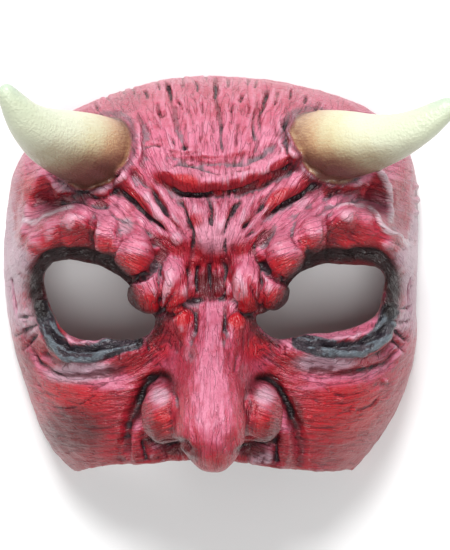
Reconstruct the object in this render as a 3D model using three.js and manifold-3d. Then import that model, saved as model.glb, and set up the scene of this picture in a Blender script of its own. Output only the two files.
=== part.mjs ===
// Demon eye mask: the upper half of a devil's face with two horns, cast in latex as one hollow skin.
// Millimetres, +Z up. The mask lies on the rim at its back, its face looks up along +Z and its
// forehead is towards +Y. While it is built, x = 0 is the line of the nose, y = 0 the line of the
// pupils and z = 0 the plane of the rim. The last step moves the origin under the middle of its box.
import * as THREE from 'three';
import { mergeVertices } from 'three/addons/utils/BufferGeometryUtils.js';
import Module from 'manifold-3d';

const wasm = await Module();
wasm.setup();

// Skin
const WALL = 3.4;
const RIM_PLANE = 0;
const BELOW_RIM = -4;

// Shell: its plan is the rim, and its section from side to side a rounded arch
const SHELL_CENTRE = new THREE.Vector2(0, 5);
const ARCH_HEIGHT = 66;
const ARCH_RISE_PER_MM = 0.1;
const ARCH_POWER = 2.4;
const RIM = [
  [-49, 66], [-32, 73], [-12, 77.8], [10, 78], [36, 73.8], [57, 65.5], [69, 52], [72, 32], [71.5, 5],
  [71, -19], [65, -37], [54, -54], [47, -62], [37, -78], [0, -94], [-37, -78], [-46, -62], [-56, -51],
  [-64, -32], [-69.5, -13], [-72.4, 8], [-71.5, 29], [-68.5, 46], [-60, 58],
];

// Lower edge, where the cast is trimmed above the mouth
const LIP_EDGE = [
  [-47, -59.4], [-43, -57.6], [-36, -55.6], [-23, -54.4], [-10, -52.8], [0, -52.6], [12, -53.8],
  [25, -56.2], [37, -57.6], [45, -58.2], [50, -59.4],
];
const LIP_CUT_TOP = 74;

// Eye holes
const LEFT_EYE = [
  [-56, 8], [-53.5, 12.8], [-46, 13.8], [-38, 12.2], [-31.5, 9], [-27.4, 6], [-25.6, 0.5], [-21.4, -2.6],
  [-18.2, -5.4], [-20, -10], [-25, -12.3], [-34, -12.3], [-43, -12.6], [-49.5, -9.6], [-53.5, -3],
  [-55.5, 3],
];
const RIGHT_EYE = [
  [58.3, 8.5], [55.5, 11.6], [46, 12.3], [38, 12.6], [31.5, 10.6], [26.6, 7], [24, 1], [19.5, -2.8],
  [14.8, -4.8], [17.5, -9.6], [23, -12.2], [32, -10.4], [41, -10], [50, -7.6], [56, -3.8], [57.6, 2],
];
const EYE_CUT_TOP = 95;

// Nose: a crest line from the root to the tip, as distance along y, height of the top, radius
// across, and how fast the flanks spread below it
const NOSE_CREST = [
  { y: 6, top: 65, radius: 3.6, spread: 0.55 },
  { y: -4, top: 71, radius: 3.9, spread: 0.5 },
  { y: -12, top: 82, radius: 4.8, spread: 0.44 },
  { y: -22, top: 94, radius: 7.4, spread: 0.34 },
  { y: -31, top: 101.5, radius: 10, spread: 0.2 },
  { y: -38, top: 104.5, radius: 10.2, spread: 0.1 },
];
const NOSE_LINE = 0.1;
const NOSE_BLEND = 7;
const NOSE_HEART = new THREE.Vector3(0.6, -30, 72);
const NOSE_TIPS = [
  { x: 0.4, y: -41.6, z: 94.6, rx: 9.8, ry: 9.6, rz: 11.2 },
  { x: 1.1, y: -47.6, z: 91.5, rx: 6.2, ry: 6.4, rz: 7.6 },
];
const TIP_BLEND = 5;
const WINGS = [
  { x: -15.6, y: -36.4, z: 73, rx: 7, ry: 9.8, rz: 13 },
  { x: 16.6, y: -36, z: 73, rx: 7, ry: 9.8, rz: 13 },
];
const WING_BLEND = 4;
const NOSTRILS = [
  { x: -13, y: -45.6, z: 77.5, rx: 4.4, ry: 4, rz: 3.4 },
  { x: 14, y: -45.4, z: 77.5, rx: 4.4, ry: 4, rz: 3.4 },
];
const NOSTRIL_SIDES = 16;

// Horns: centre line from inside the forehead to the tip, with the radius at each point
const LEFT_HORN = [
  { at: [-33, 48, 38], radius: 13 }, { at: [-39.5, 50, 56], radius: 12.7 },
  { at: [-46.5, 51.6, 71], radius: 11.4 }, { at: [-53.5, 54, 83], radius: 9 },
  { at: [-59, 58.2, 92], radius: 6.4 }, { at: [-62.6, 63.6, 98], radius: 4.3 },
  { at: [-64, 66.4, 100.5], radius: 3.2 },
];
const RIGHT_HORN = [
  { at: [32, 49.5, 38], radius: 13 }, { at: [38, 51.5, 54], radius: 12.6 },
  { at: [45.5, 51.6, 67], radius: 11.3 }, { at: [54, 52, 77], radius: 9.1 },
  { at: [62.5, 54.3, 84], radius: 6.9 }, { at: [70.5, 58.6, 88.5], radius: 5.1 },
  { at: [75.4, 62.2, 91], radius: 3.7 },
];
const HORN_HOLLOW_END = 0.5;
const HORN_SIDES = 18;
const HORN_RINGS = 18;
const HORN_CAP = [0.6, 1.1];

// Temple slits for a band
const SLITS = [
  { x: -67.6, y: 1.8, z: 29, lean: 68, turn: 3 },
  { x: 68.6, y: 2.8, z: 29, lean: -68, turn: 4 },
];
const SLIT_LENGTH = 12;
const SLIT_WIDTH = 1.7;
const SLIT_DEPTH = 16;

// Colour of the cast
const MASK_RED = 0xa92c38;

// Broad forms, as heights over the plain shell that fade out at the radii given
const SWELLS = [
  { name: 'forehead between the horns', x: 0, y: 40, rx: 34, ry: 26, height: 3 },
  { name: 'knitted brow', x: 0, y: 22, rx: 32, ry: 16, height: 6 },
  { name: 'left temple hollow', x: -54, y: 34, rx: 9, ry: 11, turn: 20, height: -3 },
  { name: 'right temple hollow', x: 55, y: 33, rx: 8, ry: 11, turn: -20, height: -3 },
  { name: 'left eye pit', x: -38, y: 2, rx: 27, ry: 19, turn: 8, height: -10 },
  { name: 'right eye pit', x: 38, y: 2, rx: 27, ry: 18, turn: -4, height: -10 },
  { name: 'nose root pit', x: -1, y: 8, rx: 8, ry: 13, height: -4 },
  { name: 'left cheek', x: -40, y: -36, rx: 26, ry: 22, turn: -30, height: 4 },
  { name: 'right cheek', x: 42, y: -36, rx: 26, ry: 22, turn: 30, height: 4 },
  { name: 'left of the nose', x: -17, y: -17, rx: 11, ry: 13, height: -2.5 },
  { name: 'right of the nose', x: 18, y: -17, rx: 11, ry: 13, height: -2.5 },
  { name: 'upper lip', x: 3, y: -54, rx: 24, ry: 12, height: 3 },
];

// Fleshy lobes, each a rounded boss on the broad forms. Rise is how far its middle stands over the
// plain shell.
const LOBES = [
  { name: 'left outer brow knob', x: -24.2, y: 15.6, rx: 6.4, ry: 7, rz: 9, turn: 12, rise: 7.6 },
  { name: 'left brow lump', x: -33.4, y: 21.4, rx: 5, ry: 6.4, rz: 6, turn: 0, rise: 8.4 },
  { name: 'left lower knob, outer lobe', x: -20.6, y: 4, rx: 6.4, ry: 6, rz: 8, turn: 30, rise: 2.8 },
  { name: 'left lower knob, inner lobe', x: -11.6, y: 5.6, rx: 4.4, ry: 8, rz: 8, turn: 6, rise: 2.4 },
  { name: 'right outer brow knob', x: 23.6, y: 15.2, rx: 6.4, ry: 7, rz: 9, turn: -10, rise: 7.6 },
  { name: 'right brow lump', x: 33.4, y: 21.8, rx: 5.2, ry: 6.2, rz: 6, turn: 0, rise: 8.4 },
  { name: 'right lower knob, inner lobe', x: 10.6, y: 6, rx: 4.6, ry: 8, rz: 8, turn: -6, rise: 2.4 },
  { name: 'right lower knob, outer lobe', x: 19.4, y: 4.2, rx: 5.8, ry: 5.6, rz: 8, turn: -25, rise: 2.6 },
  { name: 'left side of the root', x: -9.2, y: -7.4, rx: 3.6, ry: 6.2, rz: 7, turn: 12, rise: 1 },
  { name: 'right side of the root', x: 8.2, y: -8.6, rx: 3.2, ry: 6.6, rz: 7, turn: -8, rise: 1 },
];
const LOBE_BLEND = 4;
const LOBE_REACH = 2.2;

// Folds (height above zero) and creases (below zero) along lines, with their half width
const STROKES = [
  { name: 'left brow ridge', half: 10, height: 8,
    line: [[-61, 14], [-57.5, 20], [-51, 25], [-43, 27], [-36, 26], [-29, 21]] },
  { name: 'right brow ridge', half: 10, height: 8,
    line: [[62, 14], [58.5, 20], [52, 25.5], [45, 27.5], [37, 26.5], [29, 21]] },
  { name: 'crease over the left brow', half: 3.2, height: -2.8,
    line: [[-54, 33.5], [-47, 36], [-39, 35.5], [-33, 31]] },
  { name: 'crease over the right brow', half: 3.2, height: -2.8,
    line: [[33, 31], [39, 34.8], [47, 36.4], [54, 34.5]] },
  { name: 'crease through the left brow', half: 2.8, height: -2.6,
    line: [[-38, 31], [-38.6, 25], [-39, 19]] },
  { name: 'crease through the right brow', half: 2.8, height: -2,
    line: [[38.5, 31], [39.4, 25], [39, 19]] },
  { name: 'left temple ridge', half: 4, height: 2.8,
    line: [[-56, 45], [-60, 38], [-62.5, 30], [-63.5, 21]] },
  { name: 'right temple ridge', half: 4, height: 3.4,
    line: [[56, 44.5], [59.6, 39], [60.4, 32], [57, 26]] },
  { name: 'smiling forehead fold', half: 4.8, height: 4.6,
    line: [[-15, 43], [-8, 40.2], [0, 39.6], [8, 40.8], [15, 43.2], [22, 46.6], [27, 49]] },
  { name: 'crease under the fold', half: 3, height: -3,
    line: [[-16, 39.5], [-9, 35.6], [0, 34.8], [9, 36], [17, 38.6], [27, 44.5]] },
  { name: 'crease over the fold', half: 2.8, height: -2.4,
    line: [[-13, 47.5], [-4, 45.4], [5, 45.8], [13, 47.6], [20, 51]] },
  { name: 'left frown crease, outer', half: 3, height: -3,
    line: [[-32, 38], [-24.5, 31.8], [-19, 27.4], [-13, 23.2]] },
  { name: 'left frown crease, middle', half: 2.8, height: -2.2,
    line: [[-26, 42], [-20, 36.6], [-15.5, 30.5]] },
  { name: 'left frown crease, inner', half: 2.8, height: -2.8,
    line: [[-14.5, 38.5], [-10, 33], [-7, 27], [-5.5, 16]] },
  { name: 'middle frown crease', half: 2.6, height: -2, line: [[0, 35], [0.3, 28], [-0.4, 14]] },
  { name: 'right frown crease, inner', half: 2.8, height: -2.8,
    line: [[9, 32.5], [6.2, 27], [5, 21], [4.4, 13]] },
  { name: 'right frown crease, middle', half: 2.8, height: -2.2,
    line: [[20, 35.5], [15, 30], [11, 25.5]] },
  { name: 'right frown crease, outer', half: 3, height: -3,
    line: [[35, 38.5], [27, 34.4], [20, 29.8], [12.5, 24]] },
  { name: 'fold beside the left frown', half: 4, height: 1.8,
    line: [[-29, 42], [-22, 34.5], [-15, 27], [-10.5, 19]] },
  { name: 'fold beside the right frown', half: 4, height: 1.8,
    line: [[29, 42], [21, 33], [14, 26.5], [9.6, 18.5]] },
  { name: 'crease between the left knobs', half: 4.2, height: -1,
    line: [[-29, 9.6], [-23.5, 9.4], [-18.6, 12.4], [-18.2, 17]] },
  { name: 'crease between the right knobs', half: 4.2, height: -1,
    line: [[28, 9], [22.6, 9], [18, 12], [17.4, 17]] },
  { name: 'left lower lid', half: 5.6, height: 3.4,
    line: [[-58.5, -3], [-55.5, -11.5], [-49, -17.2], [-41, -19], [-33, -17.8], [-25, -16]] },
  { name: 'right lower lid', half: 5.6, height: 3.4,
    line: [[60.5, -3], [57.5, -10.5], [51, -15.8], [43, -17.4], [35, -16.4], [26, -16.4]] },
  { name: 'crease in the left lid', half: 2.4, height: -1.4,
    line: [[-55, -10], [-49, -15.6], [-41, -17.2], [-32, -16.2]] },
  { name: 'crease in the right lid', half: 2.4, height: -1.4,
    line: [[57, -9], [51, -14], [43, -15.6], [34, -14.8]] },
  { name: 'crease under the left lid', half: 5, height: -2.2,
    line: [[-61, -12], [-57.5, -19], [-50, -24], [-41, -25], [-32, -23]] },
  { name: 'crease under the right lid', half: 5, height: -2.2,
    line: [[62.5, -12], [58.5, -19], [51, -23], [43, -23.6], [35, -22.5]] },
  { name: 'left horn collar, lower side', half: 4.4, height: 2,
    line: [[-52, 39.4], [-44, 36.4], [-36, 37], [-29.5, 41]] },
  { name: 'right horn collar, lower side', half: 4.4, height: 2,
    line: [[51, 39.4], [41, 38.6], [34, 41.6], [29, 47]] },
  { name: 'left horn collar, inner side', half: 3.4, height: 2.2,
    line: [[-29.5, 41], [-25.6, 47], [-25, 54], [-28, 61]] },
  { name: 'right horn collar, inner side', half: 3.4, height: 2.2,
    line: [[29, 47], [26.6, 53], [28, 61]] },
  { name: 'left nose to mouth crease', half: 3.4, height: -3,
    line: [[-27, -40], [-28.6, -46], [-30.4, -56]] },
  { name: 'right nose to mouth crease', half: 3.4, height: -3,
    line: [[28, -42], [30.4, -48], [29.6, -58]] },
  { name: 'crease round the left wing', half: 3.2, height: -3,
    line: [[-12, -26], [-15.6, -23.6], [-19.4, -24.4], [-22.8, -28.4], [-25.2, -35], [-27.4, -41]] },
  { name: 'crease round the right wing', half: 3.2, height: -3,
    line: [[12, -26], [15.8, -23.4], [19.6, -24.4], [23, -28.4], [25.4, -35], [28, -42]] },
  { name: 'fold beside the left wing', half: 3.4, height: 2.8,
    line: [[-25, -42], [-25.6, -48], [-24.6, -56]] },
  { name: 'fold beside the right wing', half: 3.6, height: 3.4,
    line: [[24.8, -42], [25, -48], [23.8, -58]] },
  { name: 'middle of the upper lip', half: 4, height: -2, line: [[1.5, -46], [2, -58]] },
  { name: 'left crown wrinkle', half: 2.6, height: -1.8, line: [[-15, 73], [-11, 60], [-9, 51]] },
  { name: 'middle crown wrinkle', half: 2.6, height: -1.8, line: [[1.5, 75], [2.6, 64], [3.4, 51]] },
  { name: 'right crown wrinkle', half: 2.6, height: -1.8, line: [[19, 71], [15.5, 62], [15, 53]] },
];
const GROOVE_LIMIT = 3;

// Mesh sizes: cells across and along the outer skin, and of the smoother inner skin, and the
// triangles that are left once the finished cast is thinned where it is flat
const OUTER_CELLS = { across: 88, along: 70 };
const INNER_CELLS = { across: 34, along: 26 };
const NOSE_DETAIL = 12;
const NOSE_HOLLOW_DETAIL = 5;
const TRIANGLES = 9600;

// Number helpers
const clamp = (value, low, high) => Math.min(Math.max(value, low), high);
const smoothMin = (a, b, width) => {
  const near = Math.max(width - Math.abs(a - b), 0) / width;
  return Math.min(a, b) - near * near * width / 4;
};
const smoothMax = (a, b, width) => -smoothMin(-a, -b, width);
const fade = (t) => (t < 1 ? (1 - t * t) ** 2 : 0);

// Distance of (x, y) from the middle of an ellipse, as a share of its radius
function ellipseShare(form, x, y) {
  const turn = THREE.MathUtils.degToRad(form.turn ?? 0);
  const dx = x - form.x;
  const dy = y - form.y;
  const along = dx * Math.cos(turn) + dy * Math.sin(turn);
  const across = dy * Math.cos(turn) - dx * Math.sin(turn);
  return Math.hypot(along / form.rx, across / form.ry);
}

// Distance of (x, y) from a line of points
function lineDistance(line, x, y) {
  let nearest = Infinity;
  for (let i = 1; i < line.length; i += 1) {
    const [ax, ay] = line[i - 1];
    const dx = line[i][0] - ax;
    const dy = line[i][1] - ay;
    const t = clamp(((x - ax) * dx + (y - ay) * dy) / (dx * dx + dy * dy), 0, 1);
    nearest = Math.min(nearest, Math.hypot(x - ax - t * dx, y - ay - t * dy));
  }
  return nearest;
}

// Radius of the rim for every whole step of angle around the shell's centre
const ANGLE_STEPS = 720;
const rimRadii = (() => {
  const points = RIM.map(([x, y]) => new THREE.Vector3(x, y, 0));
  const curve = new THREE.CatmullRomCurve3(points, true, 'centripetal');
  const samples = curve.getPoints(ANGLE_STEPS * 4).map((p) => {
    const out = new THREE.Vector2(p.x, p.y).sub(SHELL_CENTRE);
    return { angle: (out.angle() / (2 * Math.PI)) * ANGLE_STEPS, radius: out.length() };
  });
  const radii = new Float64Array(ANGLE_STEPS);
  const nearest = new Float64Array(ANGLE_STEPS).fill(Infinity);
  for (const { angle, radius } of samples) {
    const slot = Math.round(angle) % ANGLE_STEPS;
    const off = Math.abs(angle - Math.round(angle));
    if (off < nearest[slot]) {
      nearest[slot] = off;
      radii[slot] = radius;
    }
  }
  return radii;
})();

// Place of (x, y) between the shell's centre, 0, and its rim, 1
function rimShare(x, y) {
  const out = new THREE.Vector2(x, y).sub(SHELL_CENTRE);
  const at = (out.angle() / (2 * Math.PI)) * ANGLE_STEPS;
  const low = Math.floor(at) % ANGLE_STEPS;
  const next = (low + 1) % ANGLE_STEPS;
  return out.length() / THREE.MathUtils.lerp(rimRadii[low], rimRadii[next], at - Math.floor(at));
}

const archHeight = (y) => ARCH_HEIGHT + ARCH_RISE_PER_MM * clamp(y, -60, 60);

// Below one inside the plain shell, one on it, above one outside
function shellLevel(x, y, z) {
  const up = Math.max(z, 0) / archHeight(y);
  return (rimShare(x, y) ** ARCH_POWER + up ** ARCH_POWER) ** (1 / ARCH_POWER);
}

const shellHeight = (x, y) =>
  archHeight(y) * (1 - clamp(rimShare(x, y), 0, 1) ** ARCH_POWER) ** (1 / ARCH_POWER);

const SLOPE_STEP = 0.4;
const LEAST_SLOPE = 0.004;
function shellDistance(x, y, z) {
  const step = SLOPE_STEP;
  const level = shellLevel(x, y, z);
  const slope = Math.hypot(
    shellLevel(x + step, y, z) - level,
    shellLevel(x, y + step, z) - level,
    shellLevel(x, y, z + step) - level,
  ) / step;
  return (level - 1) / Math.max(slope, LEAST_SLOPE);
}

// Height of the carving over the plain shell at (x, y)
function carving(x, y) {
  let height = 0;
  for (const swell of SWELLS) {
    height += swell.height * fade(ellipseShare(swell, x, y));
  }
  let groove = 0;
  for (const stroke of STROKES) {
    const lift = stroke.height * fade(lineDistance(stroke.line, x, y) / stroke.half);
    if (lift < 0) groove += lift;
    else height += lift;
  }
  return height + Math.max(groove, -GROOVE_LIMIT);
}

// Lowest carving within reach of (x, y): what the inner skin follows, so no crease thins the wall
const REACH_ROUND = 4.5;
const AROUND = Array.from({ length: 8 }, (_, i) => {
  const turn = (i / 8) * 2 * Math.PI;
  return [REACH_ROUND * Math.cos(turn), REACH_ROUND * Math.sin(turn)];
});
function lowestCarving(x, y) {
  return Math.min(carving(x, y), ...AROUND.map(([dx, dy]) => carving(x + dx, y + dy)));
}

// Nose
function crestAt(y) {
  const top = NOSE_CREST[0];
  const end = NOSE_CREST[NOSE_CREST.length - 1];
  const at = clamp(y, end.y, top.y);
  let i = 1;
  while (i < NOSE_CREST.length - 1 && NOSE_CREST[i].y > at) i += 1;
  const [a, b] = [NOSE_CREST[i - 1], NOSE_CREST[i]];
  const t = (at - a.y) / (b.y - a.y);
  const mix = (key) => THREE.MathUtils.lerp(a[key], b[key], t);
  return { y: at, top: mix('top'), radius: mix('radius'), spread: mix('spread') };
}

function bridgeDistance(x, y, z) {
  const crest = crestAt(y);
  const core = crest.top - crest.radius;
  const flank = Math.max(core - z, 0) * crest.spread;
  const side = Math.max(Math.abs(x - NOSE_LINE) - flank, 0);
  return Math.hypot(side, y - crest.y, Math.max(z - core, 0)) - crest.radius;
}

function ellipsoidDistance(form, x, y, z) {
  const share = Math.hypot((x - form.x) / form.rx, (y - form.y) / form.ry, (z - form.z) / form.rz);
  return (share - 1) * Math.min(form.rx, form.ry, form.rz);
}

function noseDistance(x, y, z) {
  let distance = bridgeDistance(x, y, z);
  for (const tip of NOSE_TIPS) {
    distance = smoothMin(distance, ellipsoidDistance(tip, x, y, z), TIP_BLEND);
  }
  for (const wing of WINGS) {
    distance = smoothMin(distance, ellipsoidDistance(wing, x, y, z), WING_BLEND);
  }
  return distance;
}

// Face skin: the shell with its carving, flared into the flanks of the nose
const NOSE_COVER = 0.8;
function faceDistance(x, y, z, relief) {
  return smoothMin(shellDistance(x, y, z) - relief(x, y), bridgeDistance(x, y, z) + NOSE_COVER, NOSE_BLEND);
}

// Face skin outside, with its lobes
function carvedDistance(x, y, z) {
  let distance = faceDistance(x, y, z, carving);
  for (const lobe of LOBES) {
    const share = ellipseShare(lobe, x, y);
    if (share > LOBE_REACH) continue;
    const up = (z - shellHeight(lobe.x, lobe.y) - lobe.rise) / lobe.rz;
    const boss = (Math.hypot(share, up) - 1) * Math.min(lobe.rx, lobe.ry, lobe.rz);
    distance = smoothMin(distance, boss, LOBE_BLEND);
  }
  return distance;
}

// Point where a ray from inside last leaves the solid that the distance function describes. The
// search comes in from outside by half the gap that is left, and then halves the last step.
const STEP_IN = { share: 0.5, least: 0.4, most: 6 };
const HALVINGS = 14;
function skinPoint(from, towards, distance, reach) {
  const ray = towards.clone().sub(from).normalize();
  const point = new THREE.Vector3();
  const at = (t) => distance(...point.copy(from).addScaledVector(ray, t).toArray());
  let outside = reach;
  let inside = outside;
  let gap = at(inside);
  while (gap > 0 && inside > 0) {
    outside = inside;
    inside -= clamp(gap * STEP_IN.share, STEP_IN.least, STEP_IN.most);
    gap = at(inside);
  }
  for (let i = 0; i < HALVINGS; i += 1) {
    const middle = (inside + outside) / 2;
    if (at(middle) > 0) outside = middle;
    else inside = middle;
  }
  at((inside + outside) / 2);
  return point.clone();
}

// Solid made from a mesh whose faces point outwards
const SAME_POINT = 1e-4;
function solid(geometry) {
  const bare = geometry.clone();
  for (const name of Object.keys(bare.attributes)) {
    if (name !== 'position') bare.deleteAttribute(name);
  }
  const merged = mergeVertices(bare, SAME_POINT);
  const vertProperties = Float32Array.from(merged.attributes.position.array);
  const triVerts = Uint32Array.from(merged.index.array);
  return new wasm.Manifold(new wasm.Mesh({ numProp: 3, vertProperties, triVerts }));
}

function meshGeometry(points, faces) {
  const geometry = new THREE.BufferGeometry();
  const places = points.flatMap((p) => p.toArray());
  geometry.setAttribute('position', new THREE.Float32BufferAttribute(places, 3));
  geometry.setIndex(faces.flat());
  return geometry;
}

// Face skin as a patch of cells. Its rows run from one side of the rim over the face to the other:
// the first two lie below the lip edge, the rest fan out towards the top of the rim. Every ray
// starts at one point behind the face, and the patch is closed by running back to that point.
const RAY_START = new THREE.Vector3(0, 15, -20);
const FAN_FOOT = new THREE.Vector2(0, -61.5);
const FAN_CORNER = THREE.MathUtils.degToRad(60);
const FAN_REACH = 200;
const CHIN_ROW = { outer: -80, inner: -88 };
const FACE_REACH = 170;

// Share of the way to the rim for a share of the cells: cells are small over the brows, eyes and
// root of the nose, larger towards the lip, and largest down the plain sides
const FINE_FROM = { cells: 0.17, way: 0.27 };
const FINE_TO = { cells: 0.8, way: 0.8 };
function fanShare(cells) {
  if (cells < FINE_FROM.cells) return (cells / FINE_FROM.cells) * FINE_FROM.way;
  if (cells < FINE_TO.cells) {
    const t = (cells - FINE_FROM.cells) / (FINE_TO.cells - FINE_FROM.cells);
    return THREE.MathUtils.lerp(FINE_FROM.way, FINE_TO.way, t);
  }
  const t = (cells - FINE_TO.cells) / (1 - FINE_TO.cells);
  return THREE.MathUtils.lerp(FINE_TO.way, 1, Math.sin(t * Math.PI / 2));
}

function patchPoint(u, v) {
  const wide = Math.abs(u) > v;
  const reach = wide ? Math.abs(u) : v;
  const share = (wide ? v : Math.abs(u)) / Math.max(reach, 1e-6);
  const angle = wide ? FAN_CORNER * share : Math.PI / 2 - (Math.PI / 2 - FAN_CORNER) * share;
  const heading = new THREE.Vector2(Math.cos(angle) * Math.sign(u || 1), Math.sin(angle));
  let low = 0;
  let high = FAN_REACH;
  for (let i = 0; i < 2 * HALVINGS; i += 1) {
    const middle = (low + high) / 2;
    const place = FAN_FOOT.clone().addScaledVector(heading, middle);
    if (rimShare(place.x, place.y) < 1) low = middle;
    else high = middle;
  }
  const place = FAN_FOOT.clone().addScaledVector(heading, low * fanShare(reach));
  return new THREE.Vector3(place.x, place.y, reach > 0.999 ? BELOW_RIM : shellHeight(place.x, place.y));
}

// A cell is split along the diagonal that stays nearer to the skin, or the shorter one if both do
const LENGTH_WEIGHT = 0.25;
function facePatch(cells, distance, lowest) {
  const points = [];
  for (let row = -1; row <= cells.along; row += 1) {
    for (let column = 0; column <= cells.across; column += 1) {
      const u = (column / cells.across) * 2 - 1;
      const target = patchPoint(u, Math.max(row, 0) / cells.along);
      if (row < 0) target.y = lowest;
      points.push(skinPoint(RAY_START, target, distance, FACE_REACH));
    }
  }
  const width = cells.across + 1;
  const rows = cells.along + 2;
  const faces = [];
  for (let row = 0; row < rows - 1; row += 1) {
    for (let column = 0; column < cells.across; column += 1) {
      const a = row * width + column;
      const [b, c, d] = [a + 1, a + width + 1, a + width];
      const [slashGap, backslashGap] = [[a, c], [b, d]].map(([from, to]) => (
        Math.abs(distance(...points[from].clone().lerp(points[to], 0.5).toArray()))
        + LENGTH_WEIGHT * points[from].distanceTo(points[to])));
      const slash = slashGap < backslashGap;
      faces.push(...(slash ? [[a, b, c], [a, c, d]] : [[a, b, d], [b, c, d]]));
    }
  }
  const edge = [];
  for (let column = 0; column < cells.across; column += 1) edge.push(column);
  for (let row = 0; row < rows - 1; row += 1) edge.push(row * width + cells.across);
  for (let column = cells.across; column > 0; column -= 1) edge.push((rows - 1) * width + column);
  for (let row = rows - 1; row > 0; row -= 1) edge.push(row * width);
  const start = points.push(RAY_START.clone()) - 1;
  edge.forEach((from, i) => faces.push([edge[(i + 1) % edge.length], from, start]));
  return solid(meshGeometry(points, faces));
}

// Nose skin, cast outwards from a point in its heart
const NOSE_FLOOR = 50;
const NOSE_REACH = 60;
function noseSolid(detail, distance) {
  const ball = new THREE.IcosahedronGeometry(1, detail);
  const places = ball.attributes.position;
  const bounded = (x, y, z) => smoothMax(distance(x, y, z), NOSE_FLOOR - z, 2);
  for (let i = 0; i < places.count; i += 1) {
    const ray = new THREE.Vector3().fromBufferAttribute(places, i);
    const point = skinPoint(NOSE_HEART, NOSE_HEART.clone().add(ray), bounded, NOSE_REACH);
    places.setXYZ(i, point.x, point.y, point.z);
  }
  return solid(ball);
}

// Horn: rings of a tapering tube on a smooth centre line, closed by a dome at the tip
function hornSolid(horn, inset, end) {
  const line = new THREE.CatmullRomCurve3(horn.map(({ at }) => new THREE.Vector3(...at)));
  const frames = line.computeFrenetFrames(HORN_RINGS);
  const radiusAt = (t) => {
    const at = t * (horn.length - 1);
    const i = Math.min(Math.floor(at), horn.length - 2);
    return THREE.MathUtils.lerp(horn[i].radius, horn[i + 1].radius, at - i);
  };
  const sides = inset > 0 ? HORN_SIDES / 2 : HORN_SIDES;
  const rings = [];
  for (let ring = 0; ring <= end * HORN_RINGS; ring += 1) {
    const t = ring / HORN_RINGS;
    rings.push({ t, ahead: 0, radius: radiusAt(t) - inset });
  }
  const last = rings[rings.length - 1];
  for (const turn of HORN_CAP) {
    rings.push({ t: last.t, ahead: last.radius * Math.sin(turn), radius: last.radius * Math.cos(turn) });
  }
  const points = [];
  const faces = [];
  for (const { t, ahead, radius } of rings) {
    const centre = line.getPoint(t).addScaledVector(line.getTangent(t), ahead);
    const frame = Math.round(t * HORN_RINGS);
    for (let side = 0; side < sides; side += 1) {
      const angle = (side / sides) * 2 * Math.PI;
      const out = frames.normals[frame].clone().multiplyScalar(Math.cos(angle));
      out.addScaledVector(frames.binormals[frame], Math.sin(angle));
      points.push(centre.clone().addScaledVector(out, radius));
    }
  }
  const foot = points.push(line.getPoint(0)) - 1;
  const tip = points.push(line.getPoint(last.t).addScaledVector(line.getTangent(last.t), last.radius)) - 1;
  for (let side = 0; side < sides; side += 1) {
    const next = (side + 1) % sides;
    for (let ring = 0; ring < rings.length - 1; ring += 1) {
      const a = ring * sides + side;
      const b = ring * sides + next;
      faces.push([a, b, b + sides], [a, b + sides, a + sides]);
    }
    const top = (rings.length - 1) * sides;
    faces.push([foot, next, side], [tip, top + side, top + next]);
  }
  return solid(meshGeometry(points, faces));
}

// Cutters
const OUTLINE_POINTS = 44;
const WIDE = 120;
function prism(shape, low, high) {
  const geometry = new THREE.ExtrudeGeometry(shape, { depth: high - low, bevelEnabled: false });
  geometry.translate(0, 0, low);
  return solid(geometry);
}

function eyeCutter(points) {
  const curve = new THREE.CatmullRomCurve3(points.map(([x, y]) => new THREE.Vector3(x, y, 0)), true);
  const ring = curve.getPoints(OUTLINE_POINTS).slice(1).map((p) => new THREE.Vector2(p.x, p.y));
  return prism(new THREE.Shape(ring), BELOW_RIM, EYE_CUT_TOP);
}

function lipCutter() {
  const edge = new THREE.CatmullRomCurve3(LIP_EDGE.map(([x, y]) => new THREE.Vector3(x, y, 0)));
  const ring = edge.getPoints(OUTLINE_POINTS).map((p) => new THREE.Vector2(p.x, p.y));
  ring.unshift(new THREE.Vector2(-WIDE, ring[0].y));
  ring.push(new THREE.Vector2(WIDE, ring[ring.length - 1].y));
  ring.push(new THREE.Vector2(WIDE, -WIDE), new THREE.Vector2(-WIDE, -WIDE));
  return prism(new THREE.Shape(ring), 2 * BELOW_RIM, LIP_CUT_TOP);
}

function rimCutter() {
  const block = new THREE.BoxGeometry(2 * WIDE, 2 * WIDE, WIDE);
  block.translate(0, 0, RIM_PLANE - WIDE / 2);
  return solid(block);
}

function nostrilCutter(form) {
  const bowl = new THREE.SphereGeometry(1, NOSTRIL_SIDES, NOSTRIL_SIDES / 2);
  bowl.scale(form.rx, form.ry, form.rz);
  bowl.translate(form.x, form.y, form.z);
  return solid(bowl);
}

function slitCutter(slit) {
  const blade = new THREE.BoxGeometry(SLIT_WIDTH, SLIT_LENGTH, SLIT_DEPTH);
  blade.rotateZ(THREE.MathUtils.degToRad(slit.turn));
  blade.rotateY(THREE.MathUtils.degToRad(-slit.lean));
  blade.translate(slit.x, slit.y, slit.z);
  return solid(blade);
}

// Thins a closed mesh by joining the two ends of the edges that matter least. What an edge costs is
// how far the joined corner would leave the planes of the faces around both ends.
const SLIVER = 1e-6;
const NEARLY_FLAT = 1e-5;
const LEAST_TURN = 0.25;
const LEAST_THICKNESS = 0.08;
const COST_OF_LENGTH = 1e-4;

function planeSums(a, b, c) {
  const normal = new THREE.Vector3().crossVectors(b.clone().sub(a), c.clone().sub(a));
  const area = normal.length();
  normal.divideScalar(Math.max(area, SLIVER));
  const plane = [normal.x, normal.y, normal.z, -normal.dot(a)];
  const sums = [];
  for (let i = 0; i < 4; i += 1) {
    for (let j = i; j < 4; j += 1) sums.push(plane[i] * plane[j] * area);
  }
  return sums;
}

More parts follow.
